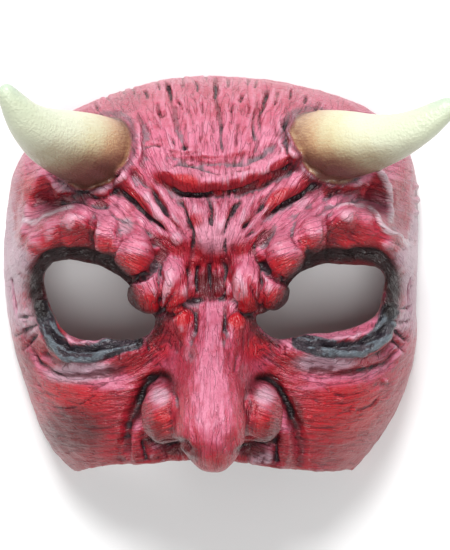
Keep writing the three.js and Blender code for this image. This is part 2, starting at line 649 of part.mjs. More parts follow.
function planeError(sums, { x, y, z }) {
  const [xx, xy, xz, xw, yy, yz, yw, zz, zw, ww] = sums;
  return xx * x * x + yy * y * y + zz * z * z + ww
    + 2 * (xy * x * y + xz * x * z + yz * y * z + xw * x + yw * y + zw * z);
}

// Point nearest to all the planes, where they meet in one
function meetingPoint(sums) {
  const [xx, xy, xz, xw, yy, yz, yw, zz, zw] = sums;
  const matrix = new THREE.Matrix3().set(xx, xy, xz, xy, yy, yz, xz, yz, zz);
  const size = Math.max(xx + yy + zz, SLIVER);
  if (Math.abs(matrix.determinant()) < NEARLY_FLAT * size ** 3) return null;
  return new THREE.Vector3(-xw, -yw, -zw).applyMatrix3(matrix.invert());
}

class EdgeQueue {
  items = [];

  push(item) {
    const { items } = this;
    let at = items.push(item) - 1;
    while (at > 0) {
      const up = (at - 1) >> 1;
      if (items[up].cost <= items[at].cost) break;
      [items[up], items[at]] = [items[at], items[up]];
      at = up;
    }
  }

  pop() {
    const { items } = this;
    const first = items[0];
    const last = items.pop();
    if (items.length === 0) return first;
    items[0] = last;
    let at = 0;
    for (;;) {
      let least = at;
      for (const down of [2 * at + 1, 2 * at + 2]) {
        if (down < items.length && items[down].cost < items[least].cost) least = down;
      }
      if (least === at) return first;
      [items[least], items[at]] = [items[at], items[least]];
      at = least;
    }
  }
}

function thinned(points, faces, target) {
  const around = points.map(() => new Set());
  const sums = points.map(() => new Array(10).fill(0));
  const changes = new Uint32Array(points.length);
  faces.forEach((face, i) => {
    const share = planeSums(...face.map((corner) => points[corner]));
    for (const corner of face) {
      around[corner].add(i);
      share.forEach((value, k) => { sums[corner][k] += value; });
    }
  });
  const neighbours = (corner) => new Set([...around[corner]].flatMap((i) => faces[i]));

  // Whether the faces of a corner, but for those it shares with the other end, keep their side
  const keepsSides = (corner, other, place) => [...around[corner]].every((i) => {
    if (faces[i].includes(other)) return true;
    const old = faces[i].map((k) => points[k]);
    const now = faces[i].map((k) => (k === corner ? place : points[k]));
    const [before, after] = [old, now].map(([a, b, c]) => (
      new THREE.Vector3().crossVectors(b.clone().sub(a), c.clone().sub(a))));
    const longest = Math.max(...now.map((p, k) => p.distanceTo(now[(k + 1) % 3])));
    if (after.length() < LEAST_THICKNESS * longest) return false;
    return before.dot(after) > LEAST_TURN * before.length() * after.length();
  });

  const queue = new EdgeQueue();
  const consider = (a, b) => {
    const both = sums[a].map((value, k) => value + sums[b][k]);
    const places = [meetingPoint(both), points[a], points[b], points[a].clone().lerp(points[b], 0.5)];
    const reach = points[a].distanceTo(points[b]);
    let best = null;
    for (const place of places) {
      if (!place || place.distanceTo(points[a]) > 2 * reach) continue;
      const cost = planeError(both, place) + COST_OF_LENGTH * reach * reach;
      if (!best || cost < best.cost) best = { cost, place, a, b, stamps: [changes[a], changes[b]], both };
    }
    queue.push(best);
  };
  points.forEach((_, a) => neighbours(a).forEach((b) => { if (a < b) consider(a, b); }));

  let left = faces.length;
  while (left > target && queue.items.length > 0) {
    const { a, b, place, stamps, both } = queue.pop();
    if (stamps[0] !== changes[a] || stamps[1] !== changes[b]) continue;
    const shared = [...neighbours(a)].filter((k) => k !== a && k !== b && neighbours(b).has(k));
    if (shared.length !== 2 || !keepsSides(a, b, place) || !keepsSides(b, a, place)) continue;
    for (const i of [...around[b]]) {
      if (faces[i].includes(a)) {
        faces[i].forEach((corner) => around[corner].delete(i));
        faces[i] = null;
        left -= 1;
      } else {
        faces[i] = faces[i].map((corner) => (corner === b ? a : corner));
        around[a].add(i);
      }
    }
    around[b].clear();
    changes[b] += 1;
    changes[a] += 1;
    points[a] = place;
    sums[a] = both;
    for (const k of neighbours(a)) {
      if (k !== a) consider(Math.min(a, k), Math.max(a, k));
    }
  }
  return faces.filter(Boolean);
}

// The cast. Thinning can lift a corner of the flat rim by a hair, so those are set back on its plane.
const NEAR_RIM = 0.02;
function castMask() {
  const outer = facePatch(OUTER_CELLS, carvedDistance, CHIN_ROW.outer)
    .add(noseSolid(NOSE_DETAIL, noseDistance))
    .add(hornSolid(LEFT_HORN, 0, 1))
    .add(hornSolid(RIGHT_HORN, 0, 1));
  const innerFace = (x, y, z) => faceDistance(x, y, z, lowestCarving) + WALL;
  const innerNose = (x, y, z) => noseDistance(x, y, z) + WALL;
  const hollow = facePatch(INNER_CELLS, innerFace, CHIN_ROW.inner)
    .add(noseSolid(NOSE_HOLLOW_DETAIL, innerNose))
    .add(hornSolid(LEFT_HORN, WALL, HORN_HOLLOW_END))
    .add(hornSolid(RIGHT_HORN, WALL, HORN_HOLLOW_END));
  let cast = outer.subtract(hollow);
  for (const cutter of [rimCutter(), lipCutter(), eyeCutter(LEFT_EYE), eyeCutter(RIGHT_EYE)]) {
    cast = cast.subtract(cutter);
  }
  for (const form of NOSTRILS) cast = cast.subtract(nostrilCutter(form));
  for (const slit of SLITS) cast = cast.subtract(slitCutter(slit));
  const { vertProperties, triVerts } = cast.getMesh();
  const points = [];
  for (let i = 0; i < vertProperties.length; i += 3) {
    points.push(new THREE.Vector3().fromArray(vertProperties, i));
  }
  const faces = [];
  for (let i = 0; i < triVerts.length; i += 3) faces.push([...triVerts.slice(i, i + 3)]);
  const kept = thinned(points, faces, TRIANGLES);
  for (const point of points) {
    if (Math.abs(point.z - RIM_PLANE) < NEAR_RIM) point.z = RIM_PLANE;
  }
  return mergeVertices(meshGeometry(points, kept).toNonIndexed(), SAME_POINT);
}

const geometry = castMask();
geometry.computeBoundingBox();
const middle = geometry.boundingBox.getCenter(new THREE.Vector3());
geometry.translate(-middle.x, -middle.y, -geometry.boundingBox.min.z);

const material = new THREE.MeshStandardMaterial({ color: MASK_RED, roughness: 0.55, metalness: 0 });
const mask = new THREE.Mesh(geometry, material);
mask.name = 'demon_mask';

const group = new THREE.Group();
group.add(mask);
export default group;
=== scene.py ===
# %% [markdown]
# # A latex devil half mask
# The real thing is one hollow skin of latex: a crumpled red face that stops above the mouth, with two
# horns, cast in a plaster mould and painted by hand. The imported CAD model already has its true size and
# all its big forms. This lesson keeps that shape, gives it skin, and paints it in the order in which a
# mask painter works. The first cell loads the CAD model, which is the frame for everything else.

import bpy
import numpy as np
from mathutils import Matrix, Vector
from mathutils.bvhtree import BVHTree


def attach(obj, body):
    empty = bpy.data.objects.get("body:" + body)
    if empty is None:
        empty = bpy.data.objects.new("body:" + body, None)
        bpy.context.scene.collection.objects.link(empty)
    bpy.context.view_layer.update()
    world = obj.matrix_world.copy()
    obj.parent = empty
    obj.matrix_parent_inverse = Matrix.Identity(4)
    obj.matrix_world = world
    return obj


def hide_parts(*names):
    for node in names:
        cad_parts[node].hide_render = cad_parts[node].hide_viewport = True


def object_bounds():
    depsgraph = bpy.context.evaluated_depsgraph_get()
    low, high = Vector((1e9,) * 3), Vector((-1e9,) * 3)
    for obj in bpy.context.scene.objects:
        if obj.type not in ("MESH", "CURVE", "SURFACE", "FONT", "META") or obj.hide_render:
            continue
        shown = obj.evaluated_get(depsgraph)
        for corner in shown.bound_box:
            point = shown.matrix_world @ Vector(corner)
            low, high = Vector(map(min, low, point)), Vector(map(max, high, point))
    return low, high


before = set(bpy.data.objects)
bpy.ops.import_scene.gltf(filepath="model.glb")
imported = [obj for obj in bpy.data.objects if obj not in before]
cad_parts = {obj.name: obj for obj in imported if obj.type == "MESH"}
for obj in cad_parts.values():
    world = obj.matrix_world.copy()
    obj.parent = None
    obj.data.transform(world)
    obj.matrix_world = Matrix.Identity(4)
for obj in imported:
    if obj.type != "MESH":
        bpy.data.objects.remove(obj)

cad_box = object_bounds()
CAD_LOW, CAD_HIGH = (np.array(corner) for corner in cad_box)
print("CAD box in mm:", np.round(CAD_LOW * 1000, 2), np.round(CAD_HIGH * 1000, 2))

# %% [markdown]
# ## Where things are
# Blender works in metres, but a face is easier to think about in millimetres from the nose line and the
# line of the pupils. The mask lies on its rim and looks up at the camera, so a place on the face is
# given as the camera sees it: on a sheet that lies 60 mm above the floor, square to the view.

# %% Camera, and the sheet that places are measured on
MM = 0.001
NOSE_TO_ORIGIN = np.array([-3.273, -9.499])
CAMERA_HEIGHT = 1000.0
SHEET_HEIGHT = 60.0
VIEW_AXIS = np.array([4.7, 9.0])
MM_PER_PIXEL = 0.3297
LONG_SIDE_PIXELS = 550
SENSOR = 36.0

camera_data = bpy.data.cameras.new("camera")
camera = bpy.data.objects.new("camera", camera_data)
bpy.context.scene.collection.objects.link(camera)
bpy.context.scene.camera = camera
camera.location = (*((VIEW_AXIS + NOSE_TO_ORIGIN) * MM), CAMERA_HEIGHT * MM)
camera_data.sensor_width = SENSOR
camera_data.lens = SENSOR * (CAMERA_HEIGHT - SHEET_HEIGHT) / (MM_PER_PIXEL * LONG_SIDE_PIXELS)
print("lens in mm:", round(camera_data.lens, 1))


def on_sheet(points):
    """Places of points (metres, part frame) as millimetres on the sheet, from nose and pupil line."""
    face = points[:, :2] / MM - NOSE_TO_ORIGIN
    scale = (CAMERA_HEIGHT - SHEET_HEIGHT) / (CAMERA_HEIGHT - points[:, 2:3] / MM)
    return VIEW_AXIS + (face - VIEW_AXIS) * scale


# %% [markdown]
# ## The cast skin
# Latex has no flat facets, and the CAD model is built of small flat triangles. A copy of it is merged,
# subdivided so that the facets turn into soft forms, and remeshed in even squares. Wrinkles need that
# even mesh, because a wrinkle is only as sharp as the squares that carry it. The CAD object itself
# stays as it is.

# %% A smooth copy of the CAD shape
VOXEL = 0.64
SUBDIVISIONS = 2
MERGE = 0.01


def only(piece):
    """Selects one object and nothing else, so that an operator can't reach anything more."""
    bpy.ops.object.select_all(action="DESELECT")
    piece.select_set(True)
    bpy.context.view_layer.objects.active = piece


cad_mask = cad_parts["demon_mask"]
mask = bpy.data.objects.new("mask_skin", cad_mask.data.copy())
bpy.context.scene.collection.objects.link(mask)
mask.data.materials.clear()
only(mask)
bpy.ops.object.mode_set(mode="EDIT")
bpy.ops.mesh.select_all(action="SELECT")
bpy.ops.mesh.remove_doubles(threshold=MERGE * MM)
bpy.ops.object.mode_set(mode="OBJECT")
soften = mask.modifiers.new("soften", "SUBSURF")
soften.levels = soften.render_levels = SUBDIVISIONS
bpy.ops.object.modifier_apply(modifier=soften.name)
mask.data.remesh_voxel_size = VOXEL * MM
bpy.ops.object.voxel_remesh()
print("points after the remesh:", len(mask.data.vertices))

# %% [markdown]
# ## Reading the mesh as numbers
# Sculpting by hand moves a few points at a time. In code it is quicker to hold all the points in one
# array, work on that, and write it back. The edges say which points are neighbours, and the mean of a
# point's neighbours is all that smoothing needs.

# %% Points, neighbours and normals
def read(items, name):
    """A vector of each item, as rows of three numbers."""
    values = np.empty(len(items) * 3, np.float32)
    items.foreach_get(name, values)
    return values.reshape(-1, 3).astype(float)


edges = np.empty(len(mask.data.edges) * 2, np.int32)
mask.data.edges.foreach_get("vertices", edges)
edge_from, edge_to = edges.reshape(-1, 2).T
points = read(mask.data.vertices, "co")
COUNT = len(points)
neighbours = np.bincount(edges, minlength=COUNT).astype(float)


def relax(values, rounds, share=0.5):
    """Moves each value towards the mean of its neighbours' values, again and again."""
    values = np.array(values, float)
    columns = values.reshape(COUNT, -1)
    for _ in range(rounds):
        for c in range(columns.shape[1]):
            column = columns[:, c]
            total = np.bincount(edge_from, column[edge_to], COUNT)
            total += np.bincount(edge_to, column[edge_from], COUNT)
            columns[:, c] = column + share * (total / neighbours - column)
    return values


def write_points():
    mask.data.vertices.foreach_set("co", points.astype(np.float32).ravel())
    mask.data.update()


def normals_now():
    write_points()
    return read(mask.data.vertex_normals, "vector")


SHRINK, SWELL, ROUNDS = 0.5, -0.52, 10
for _ in range(ROUNDS):
    points = relax(relax(points, 1, SHRINK), 1, SWELL)
normals = normals_now()
print("smoothed", ROUNDS, "times; lowest point in mm:", round(points[:, 2].min() / MM, 3))

# %% [markdown]
# ## Outside, inside, and what faces the viewer
# Only the outside of such a mask is modelled and painted. A point that looks up with nothing above it is
# outside, and gets the wrinkles that are drawn from the front. For all the other points, straight lines
# are sent out over them in many directions: on the outside most of these reach the open air, and on the
# inside nearly all of them end on the other wall. Nothing is pressed into the lowest few millimetres, so
# that the mask still lies flat on its rim.

# %% Outside and seen, as weights from 0 to 1
LIFT = 0.4 * MM
UP = Vector((0, 0, 1))
SEEN_SLOPE, LOOK_SLOPE = 0.02, 0.15
LOOK_TURNS, LOOK_RISES = 7, (-0.12, 0.35, 0.9)
OPEN_SHARE = 0.34
SPECKLE_ROUNDS, EDGE_ROUNDS = 8, 3
RIM_LOW, RIM_HIGH = 0.6, 4.0

tree = BVHTree.FromPolygons([tuple(p) for p in points], [tuple(p.vertices) for p in mask.data.polygons])
starts = [Vector(p) for p in points + normals * LIFT]
looks = [Vector((np.cos(turn), np.sin(turn), rise)).normalized() for rise in LOOK_RISES
         for turn in np.linspace(0, 2 * np.pi, LOOK_TURNS, endpoint=False) + rise]
open_above = normals[:, 2] > SEEN_SLOPE
for k in np.flatnonzero(open_above):
    open_above[k] = tree.ray_cast(starts[k], UP)[0] is None
outside = open_above.astype(float)
ahead = normals @ np.array(looks).T > LOOK_SLOPE
for k in np.flatnonzero(~open_above):
    free = [tree.ray_cast(starts[k], looks[j])[0] is None for j in np.flatnonzero(ahead[k])]
    outside[k] = len(free) > 0 and np.mean(free) > OPEN_SHARE
outside = relax(relax(outside, SPECKLE_ROUNDS) > 0.5, EDGE_ROUNDS)
seen = relax(open_above, SPECKLE_ROUNDS) * outside
above_rim = np.clip((points[:, 2] / MM - RIM_LOW) / (RIM_HIGH - RIM_LOW), 0, 1)
sheet = on_sheet(points)
X, Y = sheet.T
print("outside:", int((outside > 0.5).sum()), "seen:", int((seen > 0.5).sum()), "of", COUNT)

# %% [markdown]
# ## Lines on the face
# Most of the character of this face is in its lines. Each is drawn as a few points on the sheet, from
# which a smooth curve is made. For every point of the skin near the curve we need to know how far it is
# to the left or right of it, and how far along it lies. The ends fade out and the line wanders a little,
# because a modelling tool in clay never moves evenly.

# %% Curves on the sheet
CURVE_STEP = 0.6
SAMPLES = 24
dice = np.random.default_rng(13)


def curve(corners):
    """A smooth line through the corners, as points a fixed step apart."""
    p = np.array(corners, float)
    p = np.vstack([2 * p[0] - p[1], p, 2 * p[-1] - p[-2]])
    t = np.linspace(0, 1, SAMPLES, endpoint=False)[:, None]
    parts = [0.5 * (2 * b + (c - a) * t + (2 * a - 5 * b + 4 * c - d) * t ** 2
                    + (3 * b - a - 3 * c + d) * t ** 3) for a, b, c, d in zip(p, p[1:], p[2:], p[3:])]
    fine = np.vstack([*parts, p[-2:-1]])
    length = np.concatenate([[0], np.cumsum(np.linalg.norm(np.diff(fine, axis=0), axis=1))])
    stops = np.linspace(0, length[-1], max(int(length[-1] / CURVE_STEP), 2) + 1)
    return np.column_stack([np.interp(stops, length, fine[:, k]) for k in (0, 1)])


def beside(line, reach, among=None):
    """Which skin points lie within reach of a line, how far to its left, and how far along it (0-1)."""
    low, high = line.min(0) - reach, line.max(0) + reach
    among = seen > 0.01 if among is None else among
    which = np.flatnonzero(among & (X > low[0]) & (X < high[0]) & (Y > low[1]) & (Y < high[1]))
    start, step = line[:-1], np.diff(line, axis=0)
    side, share, nearest = (np.zeros(len(which)) for _ in range(3))
    nearest += 1e9
    for k, (a, d) in enumerate(zip(start, step)):
        rel = sheet[which] - a
        t = np.clip(rel @ d / (d @ d), 0, 1)
        gap = np.hypot(*(rel - t[:, None] * d).T)
        closer = gap < nearest
        nearest[closer] = gap[closer]
        turn = np.sign(d[0] * rel[:, 1] - d[1] * rel[:, 0])
        side[closer] = (gap * turn)[closer]
        share[closer] = ((k + t) / len(step))[closer]
    close = nearest < reach
    return which[close], side[close], share[close]


def smooth_step(value, low, high):
    """0 below low, 1 above high, and a soft slope between."""
    t = np.clip((value - low) / (high - low), 0, 1)
    return t * t * (3 - 2 * t)


def bell(distance, half):
    """1 at distance 0, falling off evenly. At half it has fallen to about 0.37."""
    return np.exp(-(distance / half) ** 2)


# %% [markdown]
# A crease is a furrow with a soft lip on both sides, where the clay was pushed up. A groove is the same
# without lips, and a ridge is raised. A lap is a fold that hangs over: a roll on its left side, with a
# narrow furrow beneath it. Along a line the pressure of the tool swells and ebbs a little.

# %% Four ways to press a line into the skin
LIP = 0.3
CREASE_SHARE = 0.82  # creases are cut this much narrower than their half width says
REACH = 4.5
FADE = 0.22
WANDER = 0.25
BEAT, BEAT_WAVE = 0.25, 0.9
SHAPES = {
    "crease": lambda side, half: LIP * bell(abs(side) - 2.2 * half, 1.1 * half) - bell(side, half),
    "groove": lambda side, half: -bell(side, half),
    "ridge": lambda side, half: bell(side, half),
    "lap": lambda side, half: (0.9 * bell(side - 1.9 * half, 1.5 * half)
                               - bell(side + 0.1 * half, 0.6 * half)),
}
height = np.zeros(COUNT)


def relax_line(values):
    """Smooths random offsets, so that the line wanders and doesn't shake."""
    for _ in range(6):
        values[1:-1] = (values[:-2] + 2 * values[1:-1] + values[2:]) / 4
    return values


def press(shape, half, depth, corners):
    """Adds one line to height. half is its half width, depth how deep or high it is, both in mm."""
    half = half * CREASE_SHARE if shape == "crease" else half
    line = curve(corners)
    line[1:-1] += relax_line(dice.normal(0, WANDER, (len(line) - 2, 2)))
    which, side, share = beside(line, REACH * half)
    ends = smooth_step(np.minimum(share, 1 - share), -0.02, FADE)
    beat = 1 + BEAT * np.sin(share * len(line) * CURVE_STEP * BEAT_WAVE + dice.uniform(0, 6))
    height[which] += depth * ends * beat * SHAPES[shape](side, half) * seen[which]


def press_all(name, lines):
    for line in lines:
        press(*line)
    print("lines pressed in,", name + ":", len(lines))


# %% [markdown]
# ## Forehead and crown
# Short wrinkles run down from the crown like the gathers of a bag. Below them one heavy fold hangs
# across the forehead like a smile, and under it the skin is pinched to a V by the knitted brow.

# %% Forehead lines
FOREHEAD = [
    # shape, half width, depth or height, corners
    ("crease", 0.8, 1.4, [(-14, 39), (-12, 37), (-8, 35.4), (-2, 35.6), (3, 36.4)]),
    ("crease", 0.7, 0.9, [(1, 37.4), (5.4, 36.4), (9.4, 37.3), (14.2, 39.2), (18.9, 41.6)]),
    ("crease", 0.6, 0.8, [(15, 41.6), (18.9, 42.4), (23.6, 43.6), (27, 46.4)]),
    ("ridge", 2.2, 0.8, [(-14, 41.4), (-8, 39.4), (0, 39), (8, 39.8), (15, 42.2), (22, 45.2)]),
    ("crease", 0.6, 0.9, [(-14, 44.4), (-10.3, 45.6), (-5.6, 44.9), (-0.9, 43.5), (3.4, 41.9)]),
    ("crease", 0.8, 0.9, [(4.5, 44.4), (7.5, 45.4), (11.8, 45.8), (16.5, 48.2), (19.5, 49.5)]),
    ("crease", 0.6, 0.6, [(7, 43.6), (10.6, 43.6), (14, 44.8)]),
    ("crease", 0.6, 0.7, [(-22.5, 51), (-19, 51.6), (-15.6, 51.2)]),
    ("crease", 0.5, 0.5, [(-15, 50.4), (-9, 49), (-4, 49.6)]),
    ("ridge", 1.8, 0.4, [(-24, 49.4), (-18, 49.6), (-11, 47.6)]),
    ("crease", 0.5, 0.5, [(-4, 48.4), (0, 47.4), (4, 48)]),
    ("crease", 0.6, 0.8, [(3.6, 60), (3.2, 55), (3.4, 50)]),
    ("crease", 0.7, 0.9, [(15, 64.5), (14, 60), (13.9, 57), (14.8, 52.5)]),
    ("crease", 0.6, 0.6, [(18.6, 66), (16.4, 62.4), (15.2, 60)]),
    ("crease", 0.5, 0.5, [(22, 66.5), (19.5, 63)]),
    ("crease", 0.5, 0.4, [(-3, 60), (-2.6, 56), (-3.4, 52)]),
    ("crease", 0.5, 0.4, [(8.6, 60), (8.8, 56), (8.2, 51)]),
    ("crease", 0.5, 0.3, [(-8, 60), (-9, 56)]),
    ("ridge", 2.4, 0.5, [(18, 58), (20, 54), (24.4, 51.4)]),
    ("ridge", 2.6, 0.5, [(-21, 60), (-17, 57), (-12, 56)]),
]
CROWN = [
    # top of the wrinkle, length
    (-35.4, 68.6, 2.4), (-30.4, 70.6, 2), (-26.4, 71.4, 2.6), (-22, 70.4, 3.4), (-18, 73, 3),
    (-13.9, 72, 6.4), (-9.6, 74.4, 3.6), (-5, 73.4, 4.4), (-1.6, 75, 2.4), (1.6, 72.6, 6),
    (5.6, 74.2, 3.4), (10, 69, 3.2), (12.6, 74, 2.6), (15.4, 73.6, 3), (18.4, 69, 4), (22, 69.8, 4.6),
    (27, 70, 3.4), (32, 68.4, 2.6), (-10.4, 66.4, 3), (-3, 66, 4), (7, 66, 3.6), (13, 65, 3),
    (-18, 66, 4), (-39, 66, 3), (36, 66.4, 3),
]
press_all("forehead", FOREHEAD)
press_all("crown", [("crease", 0.62, 0.85, [(x, y), (x - x * 0.03 + 0.3, y - length * 0.5),
                                            (x - x * 0.05, y - length)]) for x, y, length in CROWN])

# %% [markdown]
# ## The knitted brow
# Between the horns and the root of the nose the skin is bunched to slanting rolls. The knobs over each
# eye hang from them, cut off from one another by deep creases that hold dark paint, and two heavy rolls
# run out from each to the temple.

# %% Brow lines
TEMPLE_FOLD = [(52.4, 31), (54, 28.3), (55.6, 25.5), (59.4, 22.4), (65, 19.4)]
TEMPLE_EDGE = [(55, 44.4), (57, 41), (58.5, 37.6), (59, 33), (59.4, 27)]
BROW = [
    ("lap", 1.3, 1.2, [(-7, 20.7), (-12.5, 26.3), (-15.7, 30.7), (-18.1, 34.3), (-20.5, 39)]),
    ("lap", 1.2, 1.2, [(-12, 22.6), (-14.5, 23.9), (-17.7, 26.3), (-20.9, 28.3), (-23.7, 31.1),
                       (-27.3, 34.3), (-31, 37.8)]),
    ("crease", 0.7, 1.2, [(-5.8, 16), (-5.8, 19.5), (-5.8, 23.1), (-6.6, 25.1), (-7.75, 28.7),
                          (-9.8, 33.4)]),
    ("crease", 0.7, 1.1, [(-1.8, 35.1), (-0.3, 33.1), (0, 28.3), (-0.2, 23.6)]),
    ("crease", 0.65, 1.1, [(10.4, 34.3), (8, 31.3), (6.1, 27.5), (5, 23.3), (4.8, 18.3), (4.4, 13.6)]),
    ("crease", 0.5, 0.5, [(2.4, 33.6), (3.2, 30), (2.8, 26)]),
    ("lap", 1.2, 1.1, [(18, 28), (22.4, 31.2), (26.8, 33.9), (31.6, 36.7), (34, 40)]),
    ("crease", 0.8, 1.1, [(18.4, 33.4), (15.6, 29.9), (12.4, 26.3), (9.6, 23.4)]),
    ("crease", 0.6, 0.7, [(14.6, 24.1), (12.6, 22.2), (11, 20.6)]),
    ("crease", 0.6, 0.5, [(-17, 21.6), (-13.6, 20.2), (-10.4, 17)]),
    ("crease", 0.6, 0.5, [(19.6, 24.6), (15.4, 20.4), (13.6, 16.6)]),
    ("crease", 1.3, 1.5, [(-17.6, 17.4), (-18.1, 13.4), (-20.3, 11), (-23.1, 8.8), (-27.6, 7)]),
    ("crease", 1.3, 1.5, [(17.4, 18.6), (17.3, 16), (18, 13), (20.3, 10), (24.6, 7.6)]),
    ("crease", 1, 1.2, [(-15.4, 9.6), (-15.4, 6), (-16, 3), (-17, -0.4)]),
    ("crease", 0.9, 1.1, [(16.1, 9), (16.3, 5), (16.1, 0.8)]),
    ("crease", 1, 0.9, [(-31, 25), (-30.8, 20), (-32, 14.6)]),
    ("crease", 0.8, 1.1, [(-37.6, 27.6), (-38.4, 22), (-38.5, 16.6)]),
    ("crease", 0.7, 0.6, [(39.6, 24), (38, 20.6), (37.6, 16.4)]),
    ("lap", 1.5, 1.4, [(-53.6, 31), (-47, 33.6), (-43, 33.8), (-38, 32.2), (-31.6, 31.8)]),
    ("crease", 0.9, 1.2, [(32.6, 28.3), (36.4, 29.9), (38.8, 31.5), (42.4, 33.1), (46.4, 33.7),
                          (50.4, 33.4)]),
    ("crease", 0.8, 0.8, [(-33.6, 29.6), (-30, 28), (-27.4, 26)]),
    ("ridge", 1.1, 1.7, TEMPLE_FOLD),
    ("ridge", 0.8, 1.6, TEMPLE_EDGE),
    ("ridge", 1.1, 1.2, [(-55, 44), (-58, 38), (-60, 32), (-61, 26), (-62.4, 19)]),
    ("ridge", 3, 1.9, [(-59.4, 15.6), (-57, 21), (-51, 25.6), (-45, 26.4), (-40, 25)]),
    ("ridge", 2.4, 1.9, [(-60.4, 12), (-57, 17.6), (-51.6, 20.6), (-45, 20.8), (-39.4, 19.4)]),
    ("groove", 1.8, 1.8, [(-58.4, 8), (-55.4, 14), (-50, 16.4), (-43, 16.2), (-36, 14.2), (-30.6, 10.6)]),
    ("ridge", 3, 1.9, [(41, 26.6), (46, 28), (51, 26.8), (54.4, 22.6)]),
    ("ridge", 2.4, 1.9, [(40, 19), (45, 20), (50.6, 21), (57, 19.6), (62, 15)]),
    ("groove", 1.8, 1.8, [(60.6, 8), (58, 13.6), (52.6, 16), (46, 15.8), (38.6, 15), (31.6, 11.8)]),
]
press_all("brow", BROW)

# %% [markdown]
# A collar of raised skin, with a groove beside it, stands round the root of each horn, where the clay was
# pushed up against it. Down the middle, between the knobs, narrow pleats run to the root of the nose, and
# a deep groove crosses their ends.

# %% Horn collars and pleats
COLLARS = [
    ("groove", 0.7, 1, [(-54.6, 44), (-50.4, 40.2), (-45, 38.6), (-40, 38), (-35, 39), (-31, 42),
                        (-28, 46)]),
    ("ridge", 1, 1.1, [(-55, 42), (-50.8, 38.4), (-45, 36.8), (-40, 36.4), (-34, 37.4), (-30, 40.4),
                       (-26.4, 44.6)]),
    ("groove", 0.7, 0.8, [(-52, 36.8), (-46, 34.8), (-40, 34.4), (-34, 35.2), (-29, 38.6)]),
    ("ridge", 0.9, 1, [(-24.6, 44), (-23.4, 50), (-23.8, 56), (-25.4, 62)]),
    ("ridge", 0.8, 1.2, [(28.6, 46.4), (26.4, 49.6), (27.2, 52.8), (25.4, 56), (27.4, 59.6), (27, 63.6)]),
    ("ridge", 0.8, 1, [(25.6, 47), (23.4, 51), (23.6, 55), (22.6, 58.6), (24.6, 62.6)]),
    ("groove", 0.6, 0.9, [(26.8, 46), (24.8, 50.2), (25.4, 53.6), (24, 57.4), (26, 61.6), (25.8, 64.4)]),
    ("groove", 0.7, 1, [(52.4, 42.6), (47.4, 40.6), (43, 40.2), (38, 41.2), (33, 44.2), (29.6, 47.4)]),
    ("ridge", 1, 1, [(52.6, 40.4), (47.4, 38.8), (43, 38.4), (37.6, 39.2), (32.2, 42.4), (28.4, 46)]),
]
PLEATS = [
    # across at the top and at the foot, height of both, half width, depth
    (-7.6, -7, 12, -1, 1.1, 1.8), (-4, -4.6, 12.6, 2, 0.8, 1.4), (-0.6, 0.6, 14, 1, 1, 1.9),
    (2, 2.6, 12, 3, 0.7, 1.1), (4.8, 4.2, 14, 1.4, 1, 1.8), (7.4, 7, 11.6, -1, 1.1, 1.6),
]
NOSE_ROOT = [(-13.4, -2.4), (-9, -0.6), (-4.4, 1), (0.7, 1.8), (5, 1.2), (9, -0.6), (13.4, -2.4)]
press_all("horn collars", COLLARS)
press_all("pleats", [
    ("crease", half, depth, [(top_x, top), ((top_x + low_x) / 2 - 0.4, (top + low) / 2), (low_x, low)])
    for top_x, low_x, top, low, half, depth in PLEATS])
press("groove", 1.2, 1.5, NOSE_ROOT)

# %% [markdown]
# ## Nose and lip
# The bridge starts thin under the brow and swells into the hooked tip. The wings stand off from the
# cheek with a black pocket over each, and the strip of lip below is gathered to small upright folds.

# %% Nose and lip lines
NOSE = [
    ("crease", 0.7, 0.8, [(5.2, -2), (4.9, -6), (4.4, -11.8), (5, -16.6)]),
    ("crease", 0.8, 0.8, [(-4.6, -2.6), (-4.8, -6), (-6, -11), (-7.4, -15.6)]),
    ("ridge", 1.3, 0.7, [(6.6, -4), (6.9, -10), (8, -17)]),
    ("crease", 0.6, 1, [(8.7, -16.6), (8.7, -19.6), (8.3, -23.4)]),
    ("crease", 0.5, 0.5, [(11.4, -8), (10.8, -12), (11, -16)]),
    ("ridge", 2.2, 0.6, [(0.8, -3), (0.9, -9), (0.2, -16)]),
    ("crease", 1.1, 1.1, [(-13, -27.4), (-14, -25), (-16.4, -24), (-19.6, -25.4), (-22, -28.4),
                          (-23.6, -32.6), (-24.4, -38)]),
    ("crease", 1.1, 1.1, [(13.6, -28.6), (14.6, -26), (18, -25), (21, -26.6), (23.5, -30.2), (25.9, -35),
                          (27.8, -40.8)]),
    ("crease", 0.7, 0.7, [(-12.5, -28.4), (-11.3, -32.1), (-10.8, -37)]),
    ("crease", 0.7, 0.6, [(12.2, -29), (11.4, -33), (11.2, -38)]),
    ("crease", 0.9, 1.2, [(-21.4, -43.6), (-18, -46.4), (-13, -46.9), (-9, -46), (-6, -50)]),
    ("crease", 0.9, 1.2, [(22.4, -43), (20, -46.4), (15, -46.2), (11, -47.6), (8, -50.6)]),
    ("crease", 1, 1, [(-24.6, -36), (-26.8, -41), (-27.3, -47.6), (-26.6, -53)]),
    ("crease", 0.8, 0.9, [(-22.4, -44.6), (-22, -48), (-21, -53)]),
    ("crease", 0.7, 0.7, [(-17, -47.6), (-15.6, -49.4), (-13.6, -53)]),
    ("crease", 0.6, 0.6, [(-11.6, -47.6), (-10.4, -50), (-9.6, -53)]),
    ("ridge", 2.4, 0.6, [(24.8, -39.6), (25, -46), (24.6, -53)]),
    ("crease", 0.8, 1, [(21.4, -45.6), (21.4, -49), (21.8, -54)]),
    ("crease", 0.6, 0.7, [(16.4, -47.4), (17.6, -50.4), (17, -54)]),
    ("crease", 0.6, 0.6, [(11.4, -48.6), (12.6, -51), (12, -54)]),
]
press_all("nose and lip", NOSE)

# %% [markdown]
# ## Round the eyes
# Below each eye hole the lid is a roll with a groove along it, and a bag under that. Crow's feet run out
# towards the temples, and small nicks cross the skin between the eye and the nose.

